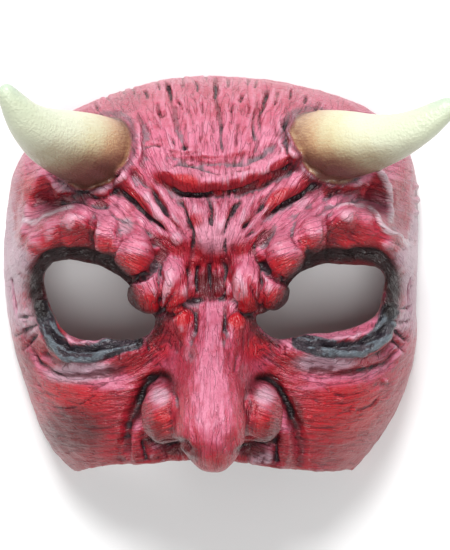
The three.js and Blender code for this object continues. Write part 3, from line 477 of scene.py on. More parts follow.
# %% Eye lines
EYES = [
    ("ridge", 1.1, 1, [(-54.4, -2), (-52.6, -7.4), (-48.6, -11.8), (-43, -14), (-36, -14), (-29, -12.4)]),
    ("crease", 0.8, 1.6, [(-55, -5), (-52.4, -10.6), (-48.4, -13.8), (-43.6, -15.6), (-37, -15.4),
                          (-28.6, -13)]),
    ("ridge", 1.3, 1.5, [(-55.6, -8), (-52.6, -13.4), (-48, -17), (-43, -18.3), (-36.4, -17.4),
                         (-29, -14.4)]),
    ("crease", 0.5, 0.7, [(-53, -12.4), (-48.6, -16.8), (-43.4, -18), (-38, -17.6)]),
    ("crease", 1, 1.5, [(-57.4, -11), (-54.6, -16.6), (-50, -20), (-43.6, -21.2), (-37, -20), (-30, -16.4)]),
    ("crease", 0.8, 0.7, [(-59, -15), (-55.6, -20.4), (-50, -23.6), (-43, -24.6)]),
    ("ridge", 1.1, 1, [(58.8, -3), (56.4, -7), (51.6, -9.8), (46, -11.6), (38, -12.6), (30, -12.4)]),
    ("crease", 0.8, 1.6, [(59.4, -5), (57, -9), (52.4, -12), (46, -13.6), (38, -14.2), (29.6, -13.4)]),
    ("ridge", 1.3, 1.5, [(60, -7.4), (57, -12), (51.6, -15.2), (45, -16.6), (38, -16.2), (30.6, -14.6)]),
    ("crease", 0.5, 0.7, [(57, -11.2), (51.6, -14.8), (45, -16), (39.6, -15.8)]),
    ("crease", 1, 1.5, [(61.4, -9), (58.6, -14.6), (53.6, -18.2), (46.6, -19.4), (39.6, -18.6)]),
    ("crease", 0.8, 0.7, [(62.4, -13.6), (59, -18.4), (53.6, -21.4), (46.6, -22.4)]),
    ("crease", 0.7, 1.1, [(-56.4, -6.6), (-60, -8.6), (-65, -11.4)]),
    ("crease", 0.7, 1.1, [(-56.4, -9.8), (-59, -12.4), (-62.6, -16)]),
    ("crease", 0.7, 1, [(-57, -4), (-60.6, -4.6), (-64, -5)]),
    ("crease", 0.7, 1.1, [(59.4, -5.4), (62, -6.4), (65.6, -6.6)]),
    ("crease", 0.7, 1.1, [(60, -9), (62.4, -10.6), (65.4, -13)]),
    ("crease", 0.7, 1, [(60, -12), (62, -14), (64.4, -16.4)]),
    ("crease", 0.6, 0.9, [(60.6, -2), (63.6, -2), (66.6, -1)]),
]
NICKS = [(-20.6, -12.6), (-23.5, -13.4), (-27.2, -15), (-30.6, -16.6), (19.6, -12.6), (23.9, -14),
         (27, -14.4)]
CHEEKS = [
    ("crease", 0.5, 0.5, [(-51, -34.6), (-46, -35), (-41, -32.6), (-35, -28.6)]),
    ("crease", 0.5, 0.45, [(-41, -29.4), (-37, -28), (-32, -25)]),
    ("crease", 0.5, 0.4, [(-58, -26), (-54, -30), (-48, -31.4)]),
    ("crease", 0.5, 0.4, [(36, -27), (43, -31), (50, -30)]),
    ("crease", 0.5, 0.4, [(47, -36), (52, -34.6), (56, -31)]),
]
press_all("eyes", EYES)
press_all("nicks", [("crease", 0.45, 0.7, [(x, y), (x + 0.1, y - 1.8), (x + 0.5, y - 3.8)])
                    for x, y in NICKS])
press_all("cheeks", CHEEKS)

# %% [markdown]
# ## Knobs, lumps, warts and pits
# The knobs of the brow are balls and short fingers of flesh that run up into the brow. The CAD model has
# their bulk, and here each gets a crisp dome with a narrow moat round its free end, so that it reads as a
# form of its own. The other small forms are dabs of clay or pokes of a tool: ellipses on the sheet that
# fade to nothing at the edge.

# %% Domes of the knobs
DOMES = [
    # middle, half width, half length, direction of the root, how far the flesh runs up to it, height
    (-25.4, 15.4, 6.9, 7, 104, 1.5, 2.1), (-34.4, 20.6, 4.6, 5.6, 96, 1.8, 1.3),
    (-21, 2.4, 6.4, 6.4, 52, 2.4, 2.4), (-12.2, 2.6, 4.8, 6.2, 84, 2.8, 2.3),
    (24.4, 14.6, 6.8, 6.9, 76, 1.5, 2.1), (32, 22, 4.8, 5, 84, 1.8, 1.3),
    (20.6, 3, 5.2, 5.8, 126, 2.4, 2.3), (12, 3, 5.1, 6.6, 96, 2.8, 2.3),
    (-9, -5.4, 3.6, 4.2, -80, 2.2, 1.3), (8.8, -6.6, 2.8, 3.4, -100, 2.2, 1.2),
]
MOAT, MOAT_AT, MOAT_HALF = 0.46, 1.12, 0.13
DOME_POWER, DAB_POWER = 0.6, 1.5


def ellipse(x, y, wide, tall, turn=0, tail=1.0):
    """How far out in an ellipse, as a share of its radius, and how far up. tail lengthens its upper half."""
    angle = np.radians(turn)
    u = (X - x) * np.cos(angle) + (Y - y) * np.sin(angle)
    v = (Y - y) * np.cos(angle) - (X - x) * np.sin(angle)
    return np.hypot(u / wide, v / tall / np.where(v > 0, tail, 1)), v / tall


for x, y, wide, tall, root, tail, rise in DOMES:
    share, up_root = ellipse(x, y, wide, tall, root - 90, tail)
    merge = 1 - smooth_step(up_root, 0.2, 1.1 * tail)
    dome = np.clip(1 - share ** 2, 0, 1) ** DOME_POWER - MOAT * bell(share - MOAT_AT, MOAT_HALF)
    height += rise * dome * merge * seen

# %% Dabs
DABS = [
    # middle, half width, half length, height
    (-4.2, 29.5, 3.4, 5.4, 1.1), (2.6, 27, 2.6, 6, 0.6), (10.6, 28, 3, 5, 0.6), (9.8, -8, 1.2, 1.5, 0.6),
    (-16, 62.4, 1.5, 1.9, -0.9), (-12.2, 53.2, 1.3, 1.6, -0.8), (-8.8, 51, 1.6, 1.4, -0.8),
    (29.4, 19.6, 1.5, 1.9, -1), (-9.9, 33, 1.8, 2, -0.6), (-6.6, -17.6, 1.7, 2.2, -0.5),
    (-15.8, -36, 4.6, 6, 0.5), (16.8, -36, 4.6, 6, 0.5),
    (42.5, -32, 1.2, 1.2, 1), (47, -35.6, 1.1, 1.1, 1), (57.4, -26, 1.2, 1.2, 1), (33, -38, 1, 1, 0.6),
    (19, -51, 2.2, 2.6, 1.1), (14, -51.6, 2, 2.2, 1), (-19, -50, 2, 2.6, 1), (68, 33.8, 1.2, 1.4, 1),
    (67.6, 38, 1, 1.2, 0.8), (67.8, 29.6, 0.9, 1, 0.7),
]
for x, y, wide, tall, rise in DABS:
    share = ellipse(x, y, wide, tall)[0]
    height += rise * np.clip(1 - share ** 2, 0, 1) ** DAB_POWER * seen
points += normals * (height * above_rim * MM)[:, None]
normals = normals_now()
print("pressed in, deepest and highest in mm:", round(height.min(), 2), round(height.max(), 2))

# %% [markdown]
# ## Fine wrinkles
# Between the drawn lines the latex is never smooth: it carries fine wrinkles that follow the pull of the
# skin. They fan out from the root of the nose over the forehead, run down the nose, and circle the eyes
# on cheeks and temples. A smooth random height, stretched along that direction and folded at zero,
# gives sharp valleys between soft rolls, which is what wrinkled skin is.

# %% A smooth random height
LATTICE = 256
lattice_turn = dice.uniform(0, 2 * np.pi, (LATTICE, LATTICE))


def ripple(u, v):
    """Gradient noise: a random slope at each whole number of u and v, joined smoothly. About -1 to 1."""
    iu, iv = np.floor(u).astype(int), np.floor(v).astype(int)
    fu, fv = u - iu, v - iv
    su, sv = fu ** 3 * (fu * (6 * fu - 15) + 10), fv ** 3 * (fv * (6 * fv - 15) + 10)
    total = 0
    for du in (0, 1):
        for dv in (0, 1):
            turn = lattice_turn[(iu + du) % LATTICE, (iv + dv) % LATTICE]
            slope = np.cos(turn) * (fu - du) + np.sin(turn) * (fv - dv)
            total = total + slope * (su if du else 1 - su) * (sv if dv else 1 - sv)
    return 1.5 * total


# %% Which way the skin is pulled
FAN = np.array([0.5, 4])
FAN_WIDTH = 46
EYE_X, EYE_Y = 38.5, -2
RING_SQUASH = 1.25
RING_LENGTH = 30

fan_angle = np.arctan2(X - FAN[0], np.maximum(Y - FAN[1], 1))
fan_u, fan_v = fan_angle * FAN_WIDTH, np.hypot(X - FAN[0], Y - FAN[1])
side = np.where(X < 0, -1, 1)
from_eye = np.array([X - side * EYE_X, (Y - EYE_Y) * RING_SQUASH])
ring_u, ring_v = np.hypot(*from_eye), np.arctan2(from_eye[0] * side, -from_eye[1]) * RING_LENGTH
on_forehead = smooth_step(Y - 0.12 * abs(X), 12, 24) * (1 - smooth_step(abs(X), 40, 54))
on_nose = (1 - smooth_step(abs(X - 1), 10, 17)) * (1 - on_forehead)
on_rings = np.clip(1 - on_forehead - on_nose, 0, 1)

# %% [markdown]
# Horns have no wrinkles, so the skin has to know where they are. Each is followed along a few stations,
# which are places on its middle line with its radius there. What lies inside the radius is horn, over a
# soft edge, and the ring just outside is the collar, where grime gathers.

# %% Where the horns are
HORN_LINES = {
    # place in mm, radius
    "left": [((-33, 48, 38), 13), ((-39.5, 50, 56), 12.7), ((-46.5, 51.6, 71), 11.4), ((-53.5, 54, 83), 9),
             ((-59, 58.2, 92), 6.4), ((-62.6, 63.6, 98), 4.3), ((-64, 66.4, 100.5), 3.2)],
    "right": [((32, 49.5, 38), 13), ((38, 51.5, 54), 12.6), ((45.5, 51.6, 67), 11.3), ((54, 52, 77), 9.1),
              ((62.5, 54.3, 84), 6.9), ((70.5, 58.6, 88.5), 5.1), ((75.4, 62.2, 91), 3.7)],
}
HORN_EDGE = (1.1, 1.02)
COLLAR_AT, COLLAR_HALF = 1.16, 0.16
ROOT_FROM, ROOT_SHADE = 0.98, 110
face = points / MM - np.array([*NOSE_TO_ORIGIN, 0])
horn, horn_along, horn_round, collar = (np.zeros(COUNT) for _ in range(4))
for name, stations in HORN_LINES.items():
    at = np.array([place for place, _ in stations], float)
    radii = np.array([radius for _, radius in stations])
    nearest = np.full(COUNT, 1e9)
    walked = 0.0
    for a, b, ra, rb in zip(at, at[1:], radii, radii[1:]):
        step = b - a
        t = np.clip((face - a) @ step / (step @ step), 0, 1)
        off = face - a - t[:, None] * step
        share = np.linalg.norm(off, axis=1) / (ra + t * (rb - ra))
        closer = share < nearest
        nearest[closer] = share[closer]
        ring = bell(share - COLLAR_AT, COLLAR_HALF) * outside
        collar = np.maximum(collar, ring * (1 - t if walked else 1))
        out = smooth_step(-share, -HORN_EDGE[0], -HORN_EDGE[1]) * outside
        length = np.linalg.norm(step)
        use = closer & (out > 0)
        horn[use] = out[use]
        horn_along[use] = (walked + t * length - ROOT_SHADE * np.clip(share - ROOT_FROM, 0, 1))[use]
        horn_round[use] = (np.arctan2(off @ np.cross(step / length, (0, 1, 0)), off[:, 1]) * ra)[use]
        walked += length
    print(name, "horn is", round(walked, 1), "mm long")
skin = outside * (1 - horn)

# %% [markdown]
# The fine wrinkles come in two sizes. On the lids they turn to strands that run along the roll, and soft
# lumps and small pits lie over everything. Sides that fall away steeply get less of them.

# %% Fine wrinkles pressed in
LID_LINES = [
    [(-55, -2), (-54, -7), (-51.6, -12), (-48, -16), (-43, -17.4), (-36.4, -16.6), (-29, -13.8), (-25, -13)],
    [(59, -3), (57.6, -7.6), (54.4, -12), (49.6, -14.8), (43, -15.8), (36, -15.2), (29.3, -13)],
]
LID_SOFT, LID_REACH = 2.6, 4.4
FOREHEAD_DEPTH, FACE_DEPTH, LID_DEPTH, LUMP_DEPTH, PIT_DEPTH = 0.42, 0.34, 0.6, 0.28, 0.16


def fold(noise):
    """A random height folded at zero: sharp valleys between soft rolls."""
    return 1.6 * np.abs(noise) ** 0.8


facing_up = smooth_step(normals[:, 2], 0.05, 0.5)
on_lids, strand_u, strand_v = np.zeros(COUNT), np.zeros(COUNT), np.zeros(COUNT)
for corners in LID_LINES:
    line = curve(corners)
    which, off, share = beside(line, LID_REACH)
    on_lids[which] = 1 - smooth_step(abs(off), LID_SOFT, LID_REACH)
    strand_u[which], strand_v[which] = off + 20, share * len(line) * CURVE_STEP
strength = FOREHEAD_DEPTH * on_forehead + FACE_DEPTH * on_nose + FACE_DEPTH * on_rings
strength = strength * (0.25 + 0.75 * facing_up)
fine = np.zeros(COUNT)
for across, along, share in ((2.6, 11, 1.0), (1.5, 6, 0.7)):
    for u, v, weight in ((fan_u, fan_v, on_forehead), (X, Y, on_nose), (ring_u, ring_v, on_rings)):
        fine += weight * share * (fold(ripple(u / across, v / along)) - 0.5)
strand_shake = 0.6 * ripple(strand_v / 6, strand_u / 5)
strands = fold(ripple(strand_u / 1.5 + strand_shake, strand_v / 7)) - 0.6
lumps = ripple(face[:, 0] / 5, face[:, 1] / 5 + face[:, 2] / 7)
pits = ripple(face[:, 0] / 1.7, face[:, 1] / 1.7 + face[:, 2] / 2.3)
fine = fine * strength * (1 - on_lids) + LID_DEPTH * strands * on_lids + LUMP_DEPTH * lumps
fine -= PIT_DEPTH * np.clip(pits - 0.15, 0, 1)
points += normals * (fine * skin * above_rim * MM)[:, None]
normals = normals_now()
print("fine wrinkles pressed in")

# %% [markdown]
# ## Where the paint goes
# A mask painter floods dark wash over the red latex and wipes it off, so that it stays in the creases.
# Then the high places are brushed with a nearly dry, pale brush. Both follow the shape, so they can be
# worked out from it: a point that lies below the smoothed skin is in a hollow, one above it is on a
# crest. How much smoothing is used says how wide a hollow counts.

# %% Hollows and crests
NARROW_ROUNDS = 10
WIDE_ROUNDS = 90


def depth_below(rounds):
    """How far each point lies below the skin smoothed that many times, in mm."""
    return np.einsum("ij,ij->i", relax(points, rounds) - points, normals) / MM


narrow, wide = depth_below(NARROW_ROUNDS), depth_below(WIDE_ROUNDS)
narrow = relax(narrow, 1)
facing = relax(normals, 3)
print("narrow hollows, 95% below:", round(np.percentile(narrow[outside > 0.5], 95), 2),
      "wide:", round(np.percentile(wide[outside > 0.5], 95), 2))

# %% Places painted on their own
def spread(lines, reach, soft):
    """1 on the lines, falling to 0 at reach, over a soft edge."""
    result = np.zeros(COUNT)
    for corners in lines:
        which, side, _ = beside(curve(corners), reach, outside > 0.3)
        result[which] = np.maximum(result[which], 1 - smooth_step(abs(side), reach - soft, reach))
    return result


def patch(x, y, wide, tall, turn=0):
    """1 in the middle of an ellipse, falling to 0 at its edge."""
    return smooth_step(1 - ellipse(x, y, wide, tall, turn)[0], 0, 0.7) * (outside > 0.3)


def strongest(rows):
    """The strongest of many patches. A row holds a weight, and then what patch takes."""
    return np.max([weight * patch(*rest) for weight, *rest in rows], axis=0)


# %% [markdown]
# Some colour is put where it is wanted, and not where the shape asks for it. Black lines the eye holes
# and the pockets over the wings: black paint, with painted shadow under the brow, the knobs, the wings
# and the nose tip. Slate covers the lids. Saturated red lies on the knobs, the wings and the cheeks,
# mostly on their undersides: red paint together with painted shade. Dark red fills the pits of the face
# and the places under the brow and the nose: dark paint together with painted shade. Last, a pale mist
# is brushed over the sides, under the eyes and on the wings, and a few folds get a white edge: pale
# paint with a painted highlight.

# %% Black paint and painted shadow, slate, and red paint with painted shade
# Black paint round the eye holes, with painted shadow under the brow and beside the knobs
BLACK_AND_SHADOW_OVER_EYES = [
    [(-55.8, -3), (-57.4, 4), (-56.4, 10.6), (-52, 15), (-46, 16), (-39.6, 15), (-33.4, 12.6), (-28.6, 9.4)],
    [(58.8, -3), (60, 4), (59, 10), (55, 14.2), (49.6, 15.8), (44, 15.6), (38, 15), (32, 12.8), (27.6, 9)],
]
BLACK_AND_SHADOW_BESIDE_KNOBS = [
    [(-28.6, 9.4), (-25.8, 4), (-23.4, -1), (-19.4, -5.6)], [(27.6, 9), (24.6, 4), (21.2, -1), (16.8, -5.2)],
]
BLACK_AND_SHADOW_CORNERS = [[(-16.6, -6), (-18, -10.6), (-23.6, -13)], [(13.6, -5.4), (16, -10.4), (21.6, -13)]]
# Pockets over the wings and under the nose tip: black paint, with painted shadow under them
POCKETS = [
    [(-12.8, -27.6), (-14, -25), (-16.4, -24), (-19.6, -25.6), (-22, -28.4), (-23.6, -32.6), (-24.4, -38)],
    [(13.6, -28.6), (14.6, -26), (18, -25.2), (21, -26.8), (23.5, -30.2), (25.9, -35), (28, -41)],
    [(-21, -45.4), (-15, -46.6), (-9, -46), (-5.6, -50.5)], [(22, -45), (16, -46.4), (11, -47.6)],
]
low_down = 1 - smooth_step(face[:, 2], 66, 78)
black_and_shadow = np.max([spread(BLACK_AND_SHADOW_OVER_EYES, 4.2, 3.2), 0.85 * spread(BLACK_AND_SHADOW_BESIDE_KNOBS, 2.8, 2.4),
               0.8 * spread(BLACK_AND_SHADOW_CORNERS, 3.4, 3), 0.75 * spread(POCKETS, 1.9, 1.9) * low_down], axis=0)
slate = spread(LID_LINES, 4, 2.2)
# Saturated red, mostly on undersides of knobs, folds, wings and cheeks: red paint together with painted
# shade
RED_AND_SHADE = [
    # weight, middle, half width, half length, turn
    (1, -24.8, 12.4, 6.4, 4.6), (1, 24, 11.8, 6.4, 4.6), (1, -20.5, 0.4, 6, 4),
    (1, -11.6, -0.6, 4, 4.6), (1, 20, 1, 4.6, 4), (1, 12, -0.4, 4.6, 4.6), (0.9, -9, 40, 8, 3.4, -6),
    (0.35, 8, 38.4, 14, 2.6, 12), (0.9, -9, -5, 3.6, 4), (0.9, 8.6, -6, 3.6, 4), (0.5, 2, -52.6, 7, 5),
    (0.8, -16, -39.4, 5.4, 6), (0.7, 18, -40, 5, 5), (0.5, -50, 19.6, 12, 4, 10),
    (0.55, 47, 20.4, 12, 4), (0.6, -34.4, 18, 4, 4), (0.6, 31.4, 18.6, 4.6, 4),
    (0.7, 22, 34.6, 8, 2.6, 38), (0.7, -24.4, 34, 6, 2.6, -44), (0.5, -17, -16, 6, 5),
    (0.6, 15, -15, 6, 6), (0.7, -44, -31, 18, 8, -14), (0.85, 44, -36, 20, 14, 14),
    (0.6, -50, -12, 4, 18), (0.4, -4, 27, 3, 4), (0.55, -60, 36, 6, 10),
]
red_and_shade = strongest(RED_AND_SHADE)

# %% Deep places: dark paint and painted shade
DARK_AND_SHADED = [
    # weight, middle, half width, half length, turn
    (1, -1, 6, 8.6, 7.4), (0.55, -53, 33, 9, 9, 20), (0.5, 55, 32, 6, 10, -10),
    (0.8, -25, -36, 4, 9, -14), (0.8, 28, -36, 4, 9, 14), (0.6, -14, -4, 6, 4), (0.6, 14, -4, 6, 4),
    (0.9, -11, -48, 10, 4), (0.9, 13, -48.6, 9, 4), (0.5, -62, -20, 8, 20),
    (0.5, -52, -48, 22, 12, -30), (0.3, 56, -46, 16, 16, 30), (0.75, -46, -42, 18, 14),
    (0.6, -18.6, -41.6, 6, 5), (0.6, 20, -41.6, 6, 5), (0.8, -1, 7, 9, 6), (0.45, -28, 66, 13, 7, 20),
    (0.35, 30, 64, 11, 6, -20), (0.3, -4, 71, 12, 4), (0.7, -52, -15, 5, 3, -40),
    (0.6, 54, -13, 5, 3, 40), (0.6, 36, 36.4, 12, 3, 10), (0.5, -38, 35, 12, 2.6),
]
# Dark red round the black lines and in the pits, as at the nose root and under its tip: dark paint with
# painted shade
deep = np.max([0.85 * spread(BLACK_AND_SHADOW_OVER_EYES, 7, 5.5), 0.8 * spread(BLACK_AND_SHADOW_BESIDE_KNOBS, 5.4, 4.4),
               0.8 * spread(POCKETS, 4.4, 4), strongest(DARK_AND_SHADED)], axis=0)

# %% White edges with painted highlight, and mist
# Pale paint on the temple ridges and the outer brow, together with a painted highlight where light grazes
# them
WHITE_EDGE_HIGHLIGHTS = [
    TEMPLE_EDGE, TEMPLE_FOLD, [(-61, 27), (-57.6, 26.6), (-52, 29.4), (-46, 31.6)],
    [(42, 31.6), (46, 32.6), (50, 31.8)],
]
white_edge_highlight = spread(WHITE_EDGE_HIGHLIGHTS, 2.4, 2.4)
brushed_edge = 5 * ripple(face[:, 1] / 9, face[:, 2] / 14) + 2 * ripple(face[:, 1] / 2.5, face[:, 2] / 9)
brushed_sides = smooth_step(abs(X - 1) - 0.1 * Y + brushed_edge, 55, 66)
brushed_sides *= smooth_step(Y + 2 * brushed_edge, -34, 14)
brushed_sides *= 1 - 0.6 * smooth_step(Y + 2 * brushed_edge, 20, 46)
MIST = [
    # weight, middle, half width, half length, turn
    (0.95, -43, -23, 17, 5.4, 4), (1, 38, -19.4, 15, 5.4, 6), (0.7, 60, -6, 7, 9),
    (0.7, -60, -6, 7, 9), (0.8, -16.6, -31, 5, 4.6), (0.8, 17.6, -31, 5, 4.6), (0.7, 17, -51, 7, 4),
    (0.6, -28, 25, 4, 5), (0.35, -6.6, -17, 3.6, 5), (0.25, 11, -24, 3.6, 6), (0.5, 30, 33, 4, 4),
]
mist = np.maximum(brushed_sides, strongest(MIST))

# %% [markdown]
# ## Coats of paint as weights
# The paint itself, with the light and shade that are painted into it, is mixed in the material. What it
# needs from the mesh is one number per point for each kind of coat, and places along the skin for the
# brush strokes. Both are kept as attributes.

# %% Attributes for the material
# up: how much a point faces the forehead light and the camera; the pink laid on with it is painted light
up = smooth_step(facing[:, 1] * 0.8 + facing[:, 2] * 0.45, -0.05, 0.75)
up *= 1 - 0.6 * on_nose * smooth_step(abs(facing[:, 0]), 0.25, 0.8)
wings = np.maximum(patch(-16, -36, 8, 11), patch(17, -36, 8, 11))
# Painted light: the middle of the brow faces down, and is painted paler, with less dark in its hollows
middle = patch(1.4, 22, 10, 9)
# Painted light: the nose tip gets more pink and less of the painted shade
tip = patch(1.6, -50, 9, 9)
knobs = np.max([patch(x, y, 1.5 * wide, 1.6 * tall) for x, y, wide, tall, *_ in DOMES], axis=0)
rolls = np.maximum(patch(-50, 24, 15, 10, 10), patch(50, 25, 15, 9, -6))
crown = smooth_step(Y, 52, 66) * (1 - horn)
beside_lip = np.maximum(patch(-25, -46, 6, 12), patch(25.6, -46, 6, 12))
calm = 1 - 0.75 * np.max([red_and_shade, deep, beside_lip], axis=0)
# Where the pink of the lit side goes: pink paint with painted light, less on wings, knobs and brow rolls
pale = 0.35 * tip + up * (1 - 0.35 * crown) - 0.9 * wings - 0.28 * knobs - 0.4 * rolls
# Painted shade: sides turned away from the forehead light, and the nose wings, are painted darker red
away_from_light = np.maximum(smooth_step(-facing[:, 1] + 0.25 * facing[:, 2], -0.1, 0.9), 0.6 * wings)
COATS_ON_SKIN = {
    "shade": away_from_light * (1 - 0.6 * tip),
    "lit_side_pink": np.clip(pale - 0.45 * red_and_shade + 0.4 * middle, 0, 1),
    "crest": smooth_step(-narrow, 0.08, 0.4) * calm * (1 - 0.5 * crown),
    # Fine dry brush on small crests, paler where they face the forehead light: dry brush with painted light
    "fine_crest": smooth_step(-narrow, 0.0, 0.12) * calm * (0.35 + 0.65 * up),
    "fine_wash": smooth_step(narrow, 0.015, 0.16) * (1 - 0.6 * middle),
    "hairlines": smooth_step(facing[:, 2], 0.15, 0.5) * (1 - 0.5 * up * on_nose) * (0.5 + 0.5 * on_rings),
    "hollow": smooth_step(wide, 0.1, 1.2) * (1 - 0.8 * middle),
    "wash": smooth_step(narrow, 0.16, 0.55),
    # Grey on banks of hollows that face the forehead light: grey paint together with painted highlight
    "lit_bank": smooth_step(wide, 0.05, 0.6) * smooth_step(facing[:, 1], 0.1, 0.55) * calm * (1 - 0.6 * crown),
    "middle": middle, "white_edge_highlight": white_edge_highlight, "red_and_shade": red_and_shade, "deep": deep, "mist": mist, "black_and_shadow": black_and_shadow,
    "slate": slate,
    "slate_light": slate * smooth_step(-narrow, 0.05, 0.3),
}
WEIGHTS_ON_MESH = {
    **{name: values * skin for name, values in COATS_ON_SKIN.items()},
    # under: how much the horn faces down the face, towards the mouth
    "under": smooth_step(-facing[:, 1], -0.1, 0.6) * horn,
    "grime": collar, "horn": horn, "outside": outside, "fan_share": on_forehead, "ring_share": on_rings,
}
PLACES_ON_MESH = {
    "fan_grain": np.column_stack([fan_u, fan_v, face[:, 2]]),
    "nose_grain": np.column_stack([X, Y, face[:, 2]]),
    "ring_grain": np.column_stack([ring_u, ring_v, face[:, 2]]),
    # Horn sides facing the forehead count as up to 10 mm further from the root, so they are paler; others
    # browner
    "horn_grain": np.column_stack([horn_along + 10 * facing[:, 1], horn_round, np.zeros(COUNT)]),
}
for name, values in WEIGHTS_ON_MESH.items():
    layer = mask.data.attributes.new(name, "FLOAT", "POINT")
    layer.data.foreach_set("value", np.asarray(values, np.float32))
for name, values in PLACES_ON_MESH.items():
    layer = mask.data.attributes.new(name, "FLOAT_VECTOR", "POINT")
    layer.data.foreach_set("vector", np.asarray(values, np.float32).ravel())
print("attributes:", len(mask.data.attributes))

# %% [markdown]
# ## Fewer faces where nothing happens
# The squares are all one size, but the inside and the smooth parts don't need them. A decimate modifier
# merges them where the surface is flattest. It goes over the inside first, which a vertex group marks
# for it, and then over everything.

# %% Thin the mesh, and keep it inside the CAD box
MOST_TRIANGLES = 196000
HIDDEN, INSIDE_LEFT = 0.02, 0.12
FLOOR_SNAP = 0.5


def triangle_count():
    return sum(len(face.vertices) - 2 for face in mask.data.polygons)


def thin(ratio, group=""):
    only(mask)
    modifier = mask.modifiers.new("thin", "DECIMATE")
    modifier.ratio = ratio
    modifier.vertex_group = group
    bpy.ops.object.modifier_apply(modifier=modifier.name)


before = triangle_count()
hidden = np.flatnonzero(outside < HIDDEN)
group = mask.vertex_groups.new(name="inside")
group.add(hidden.tolist(), 1.0, "REPLACE")
thin(1 - (1 - INSIDE_LEFT) * len(hidden) / COUNT, group.name)
halfway = triangle_count()
mask.vertex_groups.clear()
thin(MOST_TRIANGLES / halfway)
points = read(mask.data.vertices, "co")
points[points[:, 2] < FLOOR_SNAP * MM, 2] = 0
points = np.clip(points, CAD_LOW, CAD_HIGH)
write_points()
bpy.ops.object.shade_smooth()
print("triangles:", before, "->", halfway, "->", triangle_count())

# %% [markdown]
# ## Painted latex
# The mask is natural latex, pigmented crimson and cast in a plaster mould, so it has a satin face with
# soft, broad highlights. Over it lie thinned acrylic-latex paints, put on with brush and sponge: a pink
# dry brush, laid on most where the forehead light falls, so that it is also painted light; a dark wash;
# a lavender-grey dry brush; black round the eyes, with painted shadow under the brow; and blue-grey on
# the lids. Darker red on the sides turned away from the light is painted shade. The horns are the same
# cast, painted ivory with a brown stain at the root.

# %% Helpers for materials
def linear(code):
    """An sRGB hex colour as the linear values that shaders work with."""
    parts = [int(code[i:i + 2], 16) / 255 for i in (0, 2, 4)]
    return (*[c / 12.92 if c <= 0.04045 else ((c + 0.055) / 1.055) ** 2.4 for c in parts], 1)


latex = bpy.data.materials.new("latex_cast_hand_painted")
latex.use_nodes = True
tree = latex.node_tree
tree.nodes.clear()


def add(kind, links=(), output=0, **settings):
    """Adds a node and gives back one of its outputs. links holds (socket, value) pairs, where a value is
    a number, a colour or another node's output."""
    node = tree.nodes.new("ShaderNode" + kind)
    for name, value in settings.items():
        setattr(node, name, value)
    for socket, value in links:
        if isinstance(value, bpy.types.NodeSocket):
            tree.links.new(value, node.inputs[socket])
        else:
            node.inputs[socket].default_value = value
    return node.outputs[output] if node.outputs else None


MIX_A, MIX_B, MIX_RESULT = 6, 7, 2

# %% [markdown]
# Brush marks and sponge marks are noise at a real size. The sponge leaves blots of 6.5 mm, and the palest
# pink comes and goes over 18 mm. The bristles leave streaks 0.42 mm wide and 2.2 mm long, and threads are
# long hairlines of dark wash, drawn where a noise 1.5 mm wide and 12 mm long crosses its middle. Both
# follow the pull of the skin. The grain of cast plaster is nearer 0.3 mm, and is drawn coarser, at 0.9 mm,
# because a pixel of the picture covers 0.33 mm. Object coordinates are metres, so a scale is one over a
# size in metres. The places along the skin are in millimetres already.

# %% Noises
BLOT = 1 / 0.0065
PATCHES = 1 / 0.018
GRAIN = 1 / 0.0009
LINES_ALONG_SKIN = {"streaks": (0.42, 2.2, 3), "threads": (1.5, 12.0, 1)}
THREAD_HALF = 0.035

place = add("TexCoord", output="Object")
blots = add("TexNoise", [("Vector", place), ("Scale", BLOT), ("Detail", 3)])
patches = add("TexNoise", [("Vector", place), ("Scale", PATCHES), ("Detail", 2)])
grain = add("TexNoise", [("Vector", place), ("Scale", GRAIN), ("Detail", 2)])
weight_of = {name: add("Attribute", output="Fac", attribute_name=name) for name in WEIGHTS_ON_MESH}
way_of = {name: add("Attribute", output="Vector", attribute_name=name) for name in PLACES_ON_MESH}
along_skin = {}
for pattern, (width, length, detail) in LINES_ALONG_SKIN.items():
    for way, share in (("nose_grain", None), ("fan_grain", "fan_share"), ("ring_grain", "ring_share")):
        size = (1 / width, 1 / length, 0.1)
        drawn = add("Mapping", [("Vector", way_of[way]), ("Scale", size)])
        noise = add("TexNoise", [("Vector", drawn), ("Scale", 1.0), ("Detail", detail)])
        if share:
            noise = add("Mix", [("Factor", weight_of[share]), (2, along_skin[pattern]), (3, noise)])
        along_skin[pattern] = noise
streaks = along_skin["streaks"]
from_line = add("Math", [(0, along_skin["threads"]), (1, 0.5)], operation="SUBTRACT")
from_line = add("Math", [(0, from_line)], operation="ABSOLUTE")
threads = add("MapRange", [("Value", from_line), ("From Max", THREAD_HALF), ("To Min", 1), ("To Max", 0)],
              interpolation_type="SMOOTHSTEP")
print("noises ready")

# %% [markdown]
# Each coat has a colour, a weight from the mesh, and a noise that breaks its edge. The noise is added to
# the weight, and the sum is cut off between two values: a narrow gap gives a hard brushed edge, a wide
# one gives sprayed mist. The coats go on in this order, each over the last, on the crimson of the pigment.

